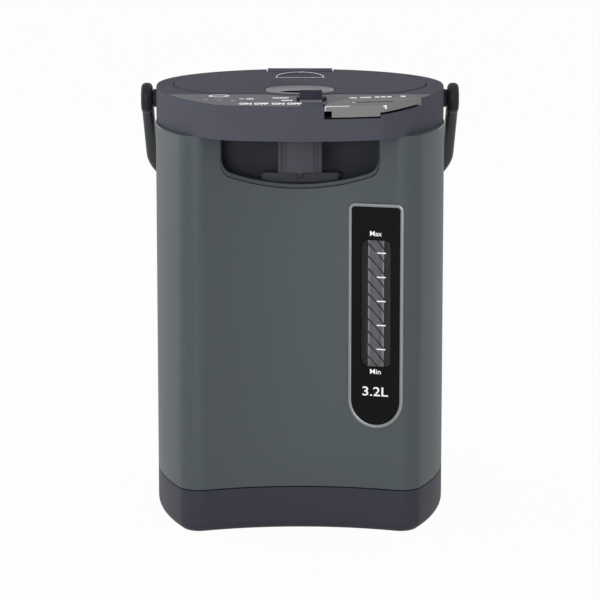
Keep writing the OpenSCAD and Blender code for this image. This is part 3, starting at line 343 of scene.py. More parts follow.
def carved(thing, *tools, operation="DIFFERENCE"):
    for tool in tools:
        change = thing.modifiers.new("carve", "BOOLEAN")
        change.operation = operation
        change.solver = "EXACT"
        change.object = tool
    applied(thing)
    for tool in tools:
        bpy.data.objects.remove(tool)
    return squared(thing)


def joined(thing, *others):
    return carved(thing, *others, operation="UNION")


def shared(thing, *others):
    return carved(thing, *others, operation="INTERSECT")


def eased(thing, width, angle=40, segments=2):
    bevel = thing.modifiers.new("ease", "BEVEL")
    bevel.width = width
    bevel.segments = segments
    bevel.limit_method = "ANGLE"
    bevel.angle_limit = radians(angle)
    return applied(thing)


def gathered(things):
    work = bmesh.new()
    for thing in things:
        work.from_mesh(thing.data)
        if thing != things[0]:
            bpy.data.objects.remove(thing)
    work.to_mesh(things[0].data)
    work.free()
    return things[0]


def moved(thing, matrix):
    thing.data.transform(matrix)
    return thing


def piece(thing, name, body, paint, slot, *replaced, smooth=35):
    moved(thing, toFrame)
    thing.name = name
    thing.data.name = name
    for face in thing.data.polygons:
        face.use_smooth = True
    thing.data.set_sharp_from_angle(angle=radians(smooth))
    thing.data.materials.clear()
    thing.data.materials.append(paints[paint])
    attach(thing, body)
    if replaced:
        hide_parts(*replaced)
    return thing


# Geometry Nodes
def geoTree(name, sizes):
    tree = bpy.data.node_groups.new(name, "GeometryNodeTree")
    for way in ("INPUT", "OUTPUT"):
        tree.interface.new_socket("Geometry", in_out=way, socket_type="NodeSocketGeometry")
    for label, kind in {**sizes, "Material": "Material"}.items():
        tree.interface.new_socket(label, in_out="INPUT", socket_type="NodeSocket" + kind)
    return tree, tree.nodes.new("NodeGroupInput").outputs


def newNode(tree, kind, settings, sockets):
    made = tree.nodes.new(kind)
    for key, value in settings.items():
        setattr(made, key, value)
    for key, value in sockets.items():
        if isinstance(value, bpy.types.NodeSocket):
            tree.links.new(value, made.inputs[key])
        else:
            made.inputs[key].default_value = value
    return made.outputs


def geoNode(tree, kind, settings, sockets):
    return newNode(tree, "GeometryNode" + kind, settings, sockets)[0]


def geoEnd(tree, given, geometry):
    real = geoNode(tree, "RealizeInstances", {}, {"Geometry": geometry})
    dressed = geoNode(tree, "SetMaterial", {}, {"Geometry": real, "Material": given["Material"]})
    tree.links.new(dressed, tree.nodes.new("NodeGroupOutput").inputs[0])
    return tree


# A section with rounded corners, swept along a path
def makeSweepTree():
    tree, given = geoTree("sweptBar", {name: "Float" for name in ("Width", "Height", "Corner")})
    path = geoNode(tree, "MeshToCurve", {}, {"Mesh": given["Geometry"]})
    upright = geoNode(tree, "SetCurveNormal", {"mode": "Z_UP"}, {"Curve": path})
    square = geoNode(tree, "CurvePrimitiveQuadrilateral", {},
                     {"Width": given["Width"], "Height": given["Height"]})
    section = geoNode(tree, "FilletCurve", {"mode": "POLY"},
                      {"Curve": square, "Radius": given["Corner"], "Count": 5, "Limit Radius": True})
    return geoEnd(tree, given, geoNode(tree, "CurveToMesh", {},
                                       {"Curve": upright, "Profile Curve": section, "Fill Caps": True}))


# Equal small blocks at even steps along a line
def makeRowTree():
    tree, given = geoTree("evenRow", {"Count": "Int", "Start": "Vector", "Step": "Vector", "Size": "Vector"})
    line = geoNode(tree, "MeshLine", {"mode": "OFFSET"},
                   {"Count": given["Count"], "Start Location": given["Start"], "Offset": given["Step"]})
    block = geoNode(tree, "MeshCube", {}, {"Size": given["Size"]})
    return geoEnd(tree, given, geoNode(tree, "InstanceOnPoints", {}, {"Points": line, "Instance": block}))


# A wire coil that stands on Z
def makeCoilTree():
    tree, given = geoTree("wireCoil", {name: "Float" for name in ("Turns", "Radius", "Height", "Wire")})
    spiral = geoNode(tree, "CurveSpiral", {},
                     {"Resolution": 28, "Rotations": given["Turns"], "Start Radius": given["Radius"],
                      "End Radius": given["Radius"], "Height": given["Height"]})
    wire = geoNode(tree, "CurvePrimitiveCircle", {}, {"Resolution": 10, "Radius": given["Wire"]})
    return geoEnd(tree, given, geoNode(tree, "CurveToMesh", {},
                                       {"Curve": spiral, "Profile Curve": wire, "Fill Caps": True}))


sweepTree, rowTree, coilTree = makeSweepTree(), makeRowTree(), makeCoilTree()


# A tree's result as a plain mesh; trees that need no path start from a short line
def grown(tree, paint, values, points=((0, 0, 0), (1, 0, 0))):
    seed = bpy.data.meshes.new("path")
    seed.from_pydata(points, [(i, i + 1) for i in range(len(points) - 1)], [])
    thing = newObject("path", seed)
    change = thing.modifiers.new("grow", "NODES")
    change.node_group = tree
    values["Material"] = paints[paint]
    for item in tree.interface.items_tree:
        if item.in_out == "INPUT" and item.name in values:
            change[item.identifier] = values[item.name]
    result = newObject("grown", evaluated(thing))
    bpy.data.objects.remove(thing)
    return result


print("stage: tools ready")


# Materials
def tone(red, green, blue):
    shares = (red / 255, green / 255, blue / 255)
    return (*[c / 12.92 if c <= 0.04045 else ((c + 0.055) / 1.055) ** 2.4 for c in shares], 1)


class Wire:
    def __init__(self, tree, socket=None):
        self.tree = tree
        self.socket = socket

    def node(self, kind, settings, sockets, out=0):
        plain = {key: getattr(value, "socket", value) for key, value in sockets.items()}
        return Wire(self.tree, newNode(self.tree, "ShaderNode" + kind, settings, plain)[out])

    def maths(self, operation, first, second=0.0):
        return self.node("Math", {"operation": operation}, {0: first, 1: second})

    def __add__(self, other):
        return self.maths("ADD", self, other)

    def __sub__(self, other):
        return self.maths("SUBTRACT", self, other)

    def __rsub__(self, other):
        return self.maths("SUBTRACT", other, self)

    def __mul__(self, other):
        return self.maths("MULTIPLY", self, other)

    def __lt__(self, other):
        return self.maths("LESS_THAN", self, other)

    def __gt__(self, other):
        return self.maths("GREATER_THAN", self, other)

    __radd__ = __add__
    __rmul__ = __mul__

    def between(self, first, second):
        return self.node("Mix", {"data_type": "RGBA"}, {0: self, 6: first, 7: second}, 2)

    def noise(self, scale, detail=2.0):
        return self.node("TexNoise", {}, {"Vector": self, "Scale": scale, "Detail": detail})

    def cells(self, scale, out):
        return self.node("TexVoronoi", {"feature": "F1"}, {"Vector": self, "Scale": scale}, out)

    def bump(self, strength, distance):
        return self.node("Bump", {}, {"Strength": strength, "Distance": distance, "Height": self})


def scaled(colour, factor):
    return (*[min(c * factor, 1) for c in colour[:3]], 1)


def newMaterial(name, fixed):
    material = bpy.data.materials.new(name)
    material.use_nodes = True
    shader = material.node_tree.nodes["Principled BSDF"]
    for key, value in fixed.items():
        shader.inputs[key].default_value = value
    return material, Wire(material.node_tree).node("TexCoord", {}, {}, "Object")


inputNames = {"colour": "Base Color", "roughness": "Roughness", "metallic": "Metallic", "normal": "Normal",
              "emission": "Emission Color"}


def connect(material, **wires):
    shader = material.node_tree.nodes["Principled BSDF"]
    for key, wire in wires.items():
        material.node_tree.links.new(wire.socket, shader.inputs[inputNames[key]])
    return material


plasticLook = {"speckScale": 900, "speckShare": 0.16, "speckTint": 0.05, "speckLift": 1.9, "grainTint": 0.3,
               "grainGloss": 0.12, "depth": 0.0002}


# Moulded plastic: a spark-eroded grain, soft smudges that change the gloss, and fine dust-like specks
def plastic(name, colour, roughness, grainSize, relief, mottle, smudge, gloss=0.5, fixed={}, cloudScale=22):
    material, coords = newMaterial(name, {"Specular IOR Level": gloss, **fixed})
    look, base = plasticLook, tone(*colour)
    grain, cloud = coords.noise(1000 / grainSize, 2), coords.noise(cloudScale, 3)
    speck = (coords.cells(look["speckScale"], "Distance") < look["speckShare"]) * look["speckTint"]
    shade = cloud * (1 - look["grainTint"]) + grain * look["grainTint"]
    mottled = shade.between(scaled(base, 1 - mottle), scaled(base, 1 + mottle))
    return connect(material, colour=speck.between(mottled, scaled(base, look["speckLift"])),
                   roughness=(cloud - 0.5) * smudge + (grain - 0.5) * look["grainGloss"] + roughness,
                   normal=grain.bump(relief, grainSize * look["depth"]))


flakeLook = {"flakeScale": 2600, "flakeShare": 0.55, "flakeTint": 0.75, "cloudScale": 9, "peelScale": 420,
             "cloudGloss": 0.08, "flakeGloss": 0.1, "depth": 0.00006}


# Stove paint on steel: fine bright flakes under a satin coat with a slight orange peel
def flakePaint(name, colour, mottle, metallic, flake, roughness, relief, fixed):
    material, coords = newMaterial(name, fixed)
    look, base = flakeLook, tone(*colour)
    glint = coords.node("SeparateColor", {}, {0: coords.cells(look["flakeScale"], "Color")})
    cloud, peel = coords.noise(look["cloudScale"], 2), coords.noise(look["peelScale"], 1)
    shade = glint * look["flakeTint"] + cloud * (1 - look["flakeTint"])
    return connect(material, colour=shade.between(scaled(base, 1 - mottle), scaled(base, 1 + mottle)),
                   metallic=(glint > look["flakeShare"]) * flake + metallic,
                   roughness=((cloud - 0.5) * look["cloudGloss"] + (glint - 0.5) * look["flakeGloss"]
                              + roughness),
                   normal=peel.bump(relief, look["depth"]))


metalLook = {"cloudScale": 30, "lineTint": 0.6, "dark": 0.82, "bright": 1.12, "lineGloss": 0.25,
             "cloudGloss": 0.12, "relief": 0.25, "depth": 0.00003}


# Metal drawn or turned: fine lines that run around Z, or along one axis
def metal(name, colour, roughness, lineScale):
    material, coords = newMaterial(name, {"Metallic": 1.0})
    look, base = metalLook, tone(*colour)
    lines = coords.node("Mapping", {}, {"Vector": coords, "Scale": lineScale}).noise(1, 4)
    cloud = coords.noise(look["cloudScale"], 3)
    shade = lines * look["lineTint"] + cloud * (1 - look["lineTint"])
    return connect(material, colour=shade.between(scaled(base, look["dark"]), scaled(base, look["bright"])),
                   roughness=((lines - 0.5) * look["lineGloss"] + (cloud - 0.5) * look["cloudGloss"]
                              + roughness),
                   normal=lines.bump(look["relief"], look["depth"]))


clearLook = {"hazeScale": 60, "scratchScale": 700, "dark": 0.85, "bright": 1.15, "hazeGloss": 0.08,
             "scratchGloss": 0.06, "roughness": 0.1, "fixed": {"Coat Weight": 0.6, "Coat Roughness": 0.04}}


# A clear or smoked plastic with faint scratches; its alpha stays even
def clear(name, colour, alpha):
    look, base = clearLook, tone(*colour)
    material, coords = newMaterial(name, {"Alpha": alpha, **look["fixed"]})
    material.surface_render_method = "BLENDED"
    haze, scratch = coords.noise(look["hazeScale"], 3), coords.noise(look["scratchScale"], 1)
    return connect(material, colour=haze.between(scaled(base, look["dark"]), scaled(base, look["bright"])),
                   roughness=((haze - 0.5) * look["hazeGloss"] + (scratch - 0.5) * look["scratchGloss"]
                              + look["roughness"]))


stripesLook = {"pale": tone(246, 246, 253), "ink": tone(22, 22, 96), "slope": 1.11, "spacing": 0.0093,
               "share": 0.19, "glow": 0.1, "hazeScale": 300, "dark": 0.9, "bright": 1.08, "smudge": 0.1,
               "roughness": 0.42}


# The sheet behind the sight tube: slanting lines on pale grey, a lens effect for reading the level; its
# colour is also emitted, painted light that keeps the shaded sheet bright deep in the gauge
def stripedSheet(name, look):
    material, coords = newMaterial(name, {"Emission Strength": look["glow"]})
    across, up = [coords.node("SeparateXYZ", {}, {0: coords}, i) for i in (0, 2)]
    level = (up + across * (look["slope"] / cos(gaugeTurn))) * (1 / look["spacing"])
    haze = coords.noise(look["hazeScale"], 2)
    pale = haze.between(scaled(look["pale"], look["dark"]), scaled(look["pale"], look["bright"]))
    colour = (coords.maths("FRACT", level) < look["share"]).between(pale, look["ink"])
    return connect(material, colour=colour, emission=colour,
                   roughness=(haze - 0.5) * look["smudge"] + look["roughness"])


# Colour, roughness, grain in millimetres, relief, mottle and smudge, then gloss, fixed inputs and cloud scale
plastics = {
    "headPlastic": ((91, 92, 103), 0.74, 0.5, 0.32, 0.05, 0.1, 0.05),
    "deckPlastic": ((134, 135, 140), 0.65, 0.35, 0.2, 0.04, 0.1, 0.06),
    "basePlastic": ((65, 66, 75), 0.6, 0.6, 0.4, 0.06, 0.12, 0.14),
    "blackPlastic": ((58, 61, 68), 0.62, 0.5, 0.3, 0.08, 0.12, 0.14),
    "nozzlePlastic": ((79, 79, 88), 0.56, 0.4, 0.2, 0.05, 0.1, 0.16),
    "leverPlastic": ((76, 77, 82), 0.58, 0.4, 0.25, 0.05, 0.12, 0.16),
    "latchPlastic": ((56, 56, 70), 0.6, 0.3, 0.15, 0.05, 0.1, 0.14),
    # The lip plastic is a lighter copy of the latch plastic: painted highlight on the latch's top ledge
    "lipPaintedHighlight": ((122, 123, 140), 0.4, 0.3, 0.12, 0.05, 0.1, 0.4),
    "bailPlastic": ((46, 48, 51), 0.45, 0.45, 0.2, 0.06, 0.14, 0.1, {"Coat Weight": 0.05}),
    "pressPlastic": ((148, 150, 154), 0.5, 0.3, 0.12, 0.04, 0.12, 0.2),
    "fasciaPlastic": ((15, 15, 15), 0.3, 0.9, 0.02, 0.1, 0.1, 0.08),
    "rubber": ((38, 38, 40), 0.75, 0.8, 0.5, 0.15, 0.15),
    "silicone": ((214, 212, 204), 0.4, 0.7, 0.15, 0.04, 0.15),
    "board": ((38, 92, 58), 0.4, 0.8, 0.2, 0.25, 0.1, 0.5, {}, 90),
    "lamp": ((140, 130, 118), 0.2, 0.6, 0.05, 0.06, 0.08),
    "wool": ((214, 206, 176), 0.92, 1.6, 1.0, 0.25, 0.05, 0.5, {}, 60),
    "deepBlack": ((26, 26, 27), 0.9, 0.4, 0.2, 0.1, 0.08, 0.0),
    # The two white prints below also glow: painted light that keeps thin marks bright at a grazing view
    "deckPrintPaintedGlow": ((254, 254, 254), 0.6, 0.2, 0.05, 0.02, 0.06, 0.5, {"Emission Strength": 0.3}),
    "print": ((254, 254, 254), 0.5, 0.2, 0.05, 0.02, 0.06, 0.5, {"Emission Strength": 0.2}),
}
# Colour, mottle, metallic, flake, roughness, relief and fixed inputs
flakePaints = {
    "shellPaint": ((88, 95, 99), 0.08, 0.12, 0.2, 0.52, 0.1, {"Specular IOR Level": 0.12}),
    # The rim paint is a darker copy of the shell paint: painted shade on the lip round the spout recess
    "rimPaint": ((72, 78, 82), 0.1, 0.1, 0.2, 0.5, 0.1, {"Specular IOR Level": 0.3}),
    "silverPaint": ((148, 149, 149), 0.08, 0.04, 0.08, 0.68, 0.06, {"Specular IOR Level": 0.04}),
    # The bezel paint is the gauge bezel's own colour; it also paints the highlight line on the shell's top
    # edge
    "bezelAndHighlightPaint": ((136, 138, 140), 0.06, 0.4, 0.2, 0.32, 0.05, {"Coat Weight": 0.2, "Coat Roughness": 0.1}),
    # The next paint is near white: it paints highlights on the key's edges and round the steam vent's rim
    "trimPaint": ((216, 217, 220), 0.04, 0.3, 0.1, 0.25, 0.03, {"Coat Weight": 0.3, "Coat Roughness": 0.08}),
}
# Colour, roughness and the scale of the lines along X, Y and Z
metals = {
    "steel": ((196, 198, 200), 0.3, (30, 30, 1600)),
    "darkSteel": ((66, 68, 72), 0.5, (30, 30, 1600)),
    "brass": ((206, 170, 92), 0.32, (500, 20, 500)),
    "aluminium": ((176, 178, 182), 0.42, (600, 20, 20)),
}
clears = {"window": ((60, 62, 62), 0.12), "tube": ((200, 206, 210), 0.06)}
paints = {}
for make, looks in ((plastic, plastics), (flakePaint, flakePaints), (metal, metals), (clear, clears)):
    paints.update({name: make(name, *look) for name, look in looks.items()})
paints["stripes"] = stripedSheet("stripes", stripesLook)
print("stage: materials ready")


shellLook = {"lowEdge": 0.3, "edge": 0.25, "sheet": 1.2, "flange": 8.0, "groove": 0.7, "grooveIn": 0.9,
             "line": ((0.3, -1.1), (-0.12, -1.0), (-0.12, -0.5), (0.3, -0.4)), "lineBack": -70,
             "seamShade": ((1.4, 0.02), (0.3, 0.02), (0.3, 0.6), (1.4, 0.6))}


def recessCut():
    return plate(recessOutline, [(0, -far), (0, recessSizes["back"])])


def bodyShell():
    sheet, flange, groove, grooveIn = pick(shellLook, "sheet flange groove grooveIn")
    levels = [seamZ + (headZ - seamZ) * i / 8 for i in range(1, 8)]
    outer = easedSides(seamZ + groove, headZ, *pick(shellLook, "lowEdge edge"), levels=levels)
    inner = [(flange, headZ), (flange, headZ - sheet), (sheet, headZ - sheet), (sheet, seamZ + sheet),
             (flange, seamZ + sheet)]
    shell = stacked(bodyPlan, [(flange, seamZ), (grooveIn, seamZ)] + outer + inner, wrap=True)
    gaugeHole = moved(plate(gaugeOutline, [(-0.1, -12), (-0.1, 12)]), gaugeFrame)
    carved(shell, gaugeHole, recessCut())
    piece(shell, "bodyShell", "pot", "shellPaint", "shell_paint", "body_shell")
    # A thin bright ring along the top edge of the shell at the sides and rear: a painted highlight on the
    # rolled edge
    line = ringed(bodyPlan, shellLook["line"], headZ)
    carved(line, box(-far, far, -far, shellLook["lineBack"], headZ - 2, headZ))
    piece(line, "shellTopHighlight", "pot", "bezelAndHighlightPaint", "shell_paint")
    # A black ring set in the groove between shell and base: painted shade in the seam
    piece(ringed(bodyPlan, shellLook["seamShade"], seamZ), "seamShadeRing", "pot", "deepBlack", "black_plastic")


baseLook = {"round": 8.0, "edge": 0.6, "wall": 2.5, "floor": 3.0, "drop": 1.0, "levels": (13, 18, 24),
            "footR": 10.1, "rearFoot": (52, 70), "motorR": 30.1, "motor": (36, 20, 0), "inletGap": 0.2,
            "ledge": 4.5}


def baseTray():
    low, (bend, wall) = span("base_tray")[0], pick(baseLook, "round wall")
    tray = stacked(bodyPlan, easedSides(low - baseLook["drop"], seamZ, bend, baseLook["edge"], steps=9,
                                        levels=[low + z for z in baseLook["levels"]]))
    hollow = prism(bodyPlan, wall, low + bend, seamZ + 1)
    floor = prism(bodyPlan, wall + baseLook["ledge"], low + baseLook["floor"], low + bend + 0.5)
    frontFoot = (span("rubber_feet", 0)[1] - 10, span("rubber_feet", 1)[0] - shiftY + 10)
    feet = [rod(baseLook["footR"], -1, low + 0.8, (side * x, y, 0))
            for x, y in (frontFoot, baseLook["rearFoot"]) for side in sides]
    (x0, _, z0), (x1, _, z1) = [v * 1000 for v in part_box("power_inlet")]
    gap = baseLook["inletGap"]
    opening = eased(box(x0 - gap, x1 + gap, 60, far, z0 - gap, z1 + gap), 3, 40, 4)
    carved(tray, hollow, floor, opening, rod(baseLook["motorR"], -1, low + 2, baseLook["motor"]), *feet)
    piece(tray, "baseTray", "pot", "basePlastic", "base_plastic", "base_tray")


latchSizes = {"x": 8.4, "width": 17.5, "side": 2.1, "front": -125.0, "rear": -88.0, "pinY": -90.0,
              "pinZ": topZ - 4.2, "pinR": 1.56, "tab": 6.9, "tabBack": 13.5, "tabR": 1.9,
              "pocketZ": topZ - 9.9, "trim": 1.2}
latchX0, latchX1 = [latchSizes["x"] + side * latchSizes["width"] / 2 for side in sides]
pocket = (latchX0 - latchSizes["side"], latchX1 + latchSizes["side"],
          latchSizes["front"] - 1, latchSizes["rear"] + 1.2)
hingeSizes = {"y": 98.5, "z": topZ - 6, "slot": 26.2, "ear": 6.0, "pin": 2.0}
bailSizes = {"pivotY": -10.0, "pivotZ": topZ - 9.8, "pin": 4.0, "out": 119.3, "thick": 8.5, "deep": 14.0,
             "bend": 81.0, "length": 164.0, "hang": 34.5, "eye": 11.5, "boss": 6.8, "corner": 3.6,
             "eyeEdge": 3.4, "inner": 101.2, "cap": 6.0}
hingePlace, bailPlace = (0, hingeSizes["y"], hingeSizes["z"]), (0, bailSizes["pivotY"], bailSizes["pivotZ"])
headLook = {"edge": 0.7, "lowEdge": 0.2, "wall": 2.8, "ledge": headZ + 2, "ledgeT": 2.2, "lidWall": 2.4,
            "hole": 66.5, "deck": 1.2, "deckInset": 0.7, "wellEdge": 0.5, "levels": (headZ + 9, headZ + 17),
            "pocketWall": 1.5, "slotWall": 2.4, "swingHalf": 18.4, "rearGap": 0.25}
boreGap = 0.05  # around the pins of the bail and the lid
lampLook = {"places": ((-68, -108), (-58, -111), (-48, -114)), "radius": 1.75, "gap": 0.1, "pitGap": 0.15}


def lampRods(radius, low, high, **more):
    return [rod(radius, low, high, (x, y, 0), **more) for x, y in lampLook["places"]]


def deckRegion(inset, low, high, edge):
    panel = stacked(headPlan, [(inset + d, z) for d, z in easedSides(low, high, 0, edge, hold=0.3)])
    edge = lidSizes["gap"] + headLook["lidWall"]
    low, high = low - 1, high + 1
    return carved(shared(panel, box(-far, far, -far, -lidSizes["front"] - edge, low, high)),
                  prism(lidPlan, -edge, low, high), prism(keyPlan, keyCut, low, high),
                  box(*pocket, low, high), box(pocket[0] + 2.8, pocket[1] - 2.8, -far, pocket[3], low, high))


def headHousing():
    look, wall, ledge, over = headLook, headLook["wall"], headLook["ledge"], topZ + 2
    hingeY, hingeZ, slot, ear = pick(hingeSizes, "y z slot ear")
    gap, back = pick(lidSizes, "gap back")
    x, pinZ, pocketZ = pick(latchSizes, "x pinZ pocketZ")
    seat = ledge + look["ledgeT"]
    rearGap = hingeY - sqrt((hingeY - back) ** 2 - (topZ - hingeZ) ** 2) + look["rearGap"]
    head = stacked(headPlan, easedSides(headZ, topZ, look["lowEdge"], look["edge"], levels=look["levels"]))
    hollow = prism(headPlan, wall, headZ - 1, topZ - wall)
    edge, slotWall = look["pocketWall"], look["slotWall"]
    left, right, front, rear = pocket
    kept = [prism(lidPlan, -gap - look["lidWall"], ledge, over),
            box(-slot - slotWall, slot + slotWall, 80, far, ledge, over),
            box(left - edge, right + edge, front - edge, rear + edge, pocketZ - edge, over)]
    for side in sides:
        middle = side * (slot + ear / 2)
        kept.append(box(middle - ear / 2, middle + ear / 2, hingeY - 5, hingeY + 5, hingeZ - 6, over))
    carved(hollow, *kept)
    edge, swing = look["wellEdge"], slot + look["swingHalf"]
    well = stacked(lidPlan, [(-gap, seat), (-gap, topZ - edge), (-gap - edge * 0.3, topZ - edge * 0.3),
                             (-gap - edge, topZ), (-gap - edge, over)])
    cuts = [moved(prism(lidPlan, -gap, seat, over), at(y=rearGap - back - gap)),
            box(-swing, swing, back - 2, rearGap, seat, over), box(-slot, slot, 80, far, seat, over),
            box(*pocket, pocketZ, over), box(x - 5, x + 5, rear - 1, pressY, pinZ - 7, pinZ - 2)]
    keyFloor = keyLow - keySizes["gap"]
    keyHole = shared(prism(keyPlan, keyCut, keyFloor, over),
                     prism(headPlan, keySizes["skin"], keyFloor - 1, over + 1))
    joined(keyHole, prism(keyPlan, -keySizes["sideGap"], keyFloor, over))
    slope = [(-146, keyLow - 5), (-143, keyLow + 1.0), (keyRear + 3, keyLow + 2.7), (keyRear + 3, keyLow - 5)]
    carved(keyHole, bar(slope, headCornerC.x + 1.5, far))
    bores = [rod(bailSizes["pin"] + boreGap, side * 96, side * 130, bailPlace, "X") for side in sides]
    bores.append(rod(hingeSizes["pin"] + boreGap, -slot - 5, slot + 5, hingePlace, "X"))
    carved(head, hollow, well, rod(look["hole"], 290, ledge + 5, count=128), *cuts, keyHole, *bores,
           deckRegion(look["deckInset"], topZ - look["deck"], over, 0),
           *lampRods(lampLook["radius"] + lampLook["pitGap"], 300, over, count=24))
    piece(head, "headHousing", "pot", "headPlastic", "head_plastic", "head_housing")


def controlDeck():
    deck = deckRegion(headLook["deckInset"] + 0.1, topZ - headLook["deck"] + 0.02, topZ, 0.25)
    carved(deck, *lampRods(lampLook["radius"] + lampLook["gap"], 300, topZ + 5, count=24))
    piece(deck, "controlDeck", "pot", "deckPlastic", "deck_plastic", "control_deck")
    lamps = gathered(lampRods(lampLook["radius"], topZ - 6, topZ + 0.2, edge=0.4, count=32))
    piece(lamps, "indicatorLamps", "pot", "lamp", "lamp", "indicator_lamps")


keyLook = {"slotPlace": (-15.9, 22), "slotTurn": 11, "slot": (15.5, 2.6), "pane": (15.4, 2.5),
           "slotDeep": 1.1, "signX": 60.5, "sign": ((-0.1, 1.2, -3.2, -0.7), (-1.4, -0.1, -1.7, -0.7)),
           "edgeRun": 17, "edge": ((-0.03, -0.8), (0.05, -0.3), (0.3, -0.04), (0.4, -0.8))}


def dispenseKey():
    look, (top, wall, edge) = keyLook, pick(keySizes, "top wall edge")
    low, left = keyLow, keyC.x - keySizes["bend"]
    key = stacked(headPlan, easedSides(low, top, 0.2, edge, hold=0.5))
    shared(key, stacked(keyPlan, [(0, low - 5), (0, top - edge), (edge * 0.08, top - edge * 0.6),
                                  (edge * 0.3, top - edge * 0.3), (edge * 0.65, top - edge * 0.05),
                                  (edge, top + 0.01), (edge, top + 2)]))
    hollow = shared(prism(headPlan, wall, low - 5, top - wall), prism(keyPlan, wall, low - 6, top))
    ramp = bar([(-145, low - 5), (-142, low + 2.8), (keyRear, low + 4.5), (keyRear, low - 5)],
               headCornerC.x + 1, far)
    x, y = look["slotPlace"]
    turned = at(keyC.x + x, keyC.y + y) @ about("Z", radians(look["slotTurn"]))
    x, y = look["slot"]
    slot = moved(box(-x, x, -y, y, top - look["slotDeep"], top + 2), turned)
    carved(key, hollow, prism(headPlan, wall, low - 5, low + 2.8),
           box(left - 5, left + 5, -far, -100, low - 5, low + 4.5), ramp, slot)
    piece(key, "dispenseKey", "key", "silverPaint", "silver_plastic", "dispense_key")
    x, y = look["pane"]
    pane = moved(eased(box(-x, x, -y, y, top - look["slotDeep"] - 0.05, top - 0.35), 0.15), turned)
    piece(pane, "keyWindow", "key", "deepBlack", "black_plastic", "key_window")
    # A near-white strip along the key's top front edge and up its left edge: a painted highlight on the
    # rounded edges
    along = [left + 0.5 + look["edgeRun"] * i / 12 for i in range(13)]
    edges = loft([[(x, crownY(x) + y, top + z) for y, z in look["edge"]] for x in along])
    y = crownY(left)
    upright = box(left - 0.03, left + 0.6, y - 0.06, y + 0.5, low + 4.6, top - 0.3)
    piece(gathered([edges, upright]), "keyEdgeHighlight", "key", "trimPaint", "silver_plastic")
    dot = moved(rod(1.3, top - 0.5, top - 0.1, (-13.4, 0, 0), edge=0.1, count=24), turned)
    signTurn = asin(look["signX"] / crown)
    face = at(look["signX"], crownC.y - crown * cos(signTurn)) @ about("Z", signTurn)
    sign = [moved(box(x0, x1, -0.12, 0.4, top + z0, top + z1), face) for x0, x1, z0, z1 in look["sign"]]
    piece(gathered([dot] + sign), "keyMarks", "key", "print", "silver_plastic")


def keyWell():
    gap, sideGap, wall, skin, cutGap, stem = pick(keySizes, "gap sideGap well skin cutGap stem")
    low = keyLow - gap
    well = shared(prism(keyPlan, -sideGap - wall, low, topZ - 0.3),
                  prism(headPlan, skin + cutGap, low - 1, topZ))
    carved(well, prism(keyPlan, -sideGap, low + 2, topZ),
           rod(keySizes["stemHole"], low - 1, low + 3, (*stem, 0)))
    piece(well, "keyWell", "pot", "deepBlack", "black_plastic", "key_well")


latchLook = {"barrel": 3.2, "bend": (3.2, 9.8, 13), "hookHalf": 4.2, "hookY": (2.4, 1.9), "hookZ": (5.5, 1),
             "slotX": (5.4, 1.6), "slotHalf": 4.4, "slotZ": (8, 4.5), "lip": (0.2, 0.3), "finHalf": 0.35,
             "finIn": 0.95, "finDeep": 13, "frame": 0.7}


def lidLatch():
    x, front, rear, pinY, pinZ, trim, tabR, pinR = pick(latchSizes, "x front rear pinY pinZ trim tabR pinR")
    tab, tabTop, place = front + latchSizes["tabBack"], topZ + latchSizes["tab"], (0, pinY, pinZ)
    x0, x1, proud, under = latchX0, latchX1, topZ + 0.3, topZ - 2.4
    look, (rise, fall, foot) = latchLook, latchLook["bend"]
    outline = ([(front, under), (front, proud), (tab, proud)]
               + arc((tab + rise, tabTop - tabR), tabR, 170, 90, 5)
               + arc((tab + fall, tabTop - 2.3), tabR, 90, 10, 5)
               + [(tab + foot, proud), (rear - 2, proud), (rear, topZ - 1.7), (rear, pinZ - 2),
                  (pinY - 3.5, pinZ - 2), (pinY - 5, under)])
    latch = bar(outline, x0, x1 - trim)
    half, (ahead, over), (low, high) = pick(look, "hookHalf hookY hookZ")
    hook = box(x - half, x + half, pinY - ahead, pressY - lidSizes["bulge"] + over, pinZ - low, pinZ - high)
    joined(latch, rod(look["barrel"], x0, x1, place, "X"), hook)
    half, (left, right), (low, high) = pick(look, "slotHalf slotX slotZ")
    springSlot = box(x1 - left, x1 - right, pinY - half, pinY + half, pinZ - low, pinZ + high)
    carved(latch, rod(pinR, x0 - 1, x1 + 1, place, "X", count=32), springSlot,
           prism(lidPlan, -1.3, headZ, topZ))
    piece(eased(latch, 0.35, 35), "lidLatch", "latch", "latchPlastic", "head_plastic", "lid_latch")
    # A thin lighter plate on the latch's front ledge: a painted highlight for the light that falls on the
    # ledge
    side, end = look["lip"]
    lip = eased(box(x0 + side, x1 - trim - side, front + end, tab - end, topZ + 0.2, topZ + 0.5), 0.12)
    piece(lip, "latchLipHighlight", "latch", "lipPaintedHighlight", "head_plastic")
    left, right, low = pocket[:3]
    half, finIn, finDeep, wide = pick(look, "finHalf finIn finDeep frame")
    fins = [box(x - half, x + half, low + 0.1, low + finDeep, latchSizes["pocketZ"] - 0.1, topZ - 0.5)
            for x in (left + finIn, right - finIn)]
    ring = carved(box(left - wide, right + wide, low - wide, -lidSizes["front"] - 4, topZ - 0.6, topZ + 0.12),
                  box(left, right, low, far, topZ - 1, topZ + 1))
    piece(gathered([eased(ring, 0.1)] + fins), "pocketFrame", "pot", "deckPlastic", "deck_plastic")


lidLook = {"edge": 0.7, "wall": 2.4, "skin": 2.6, "press": 25.7, "block": 25.4, "blockRise": 0.8,
           "flare": 0.7, "chimney": 6.5}


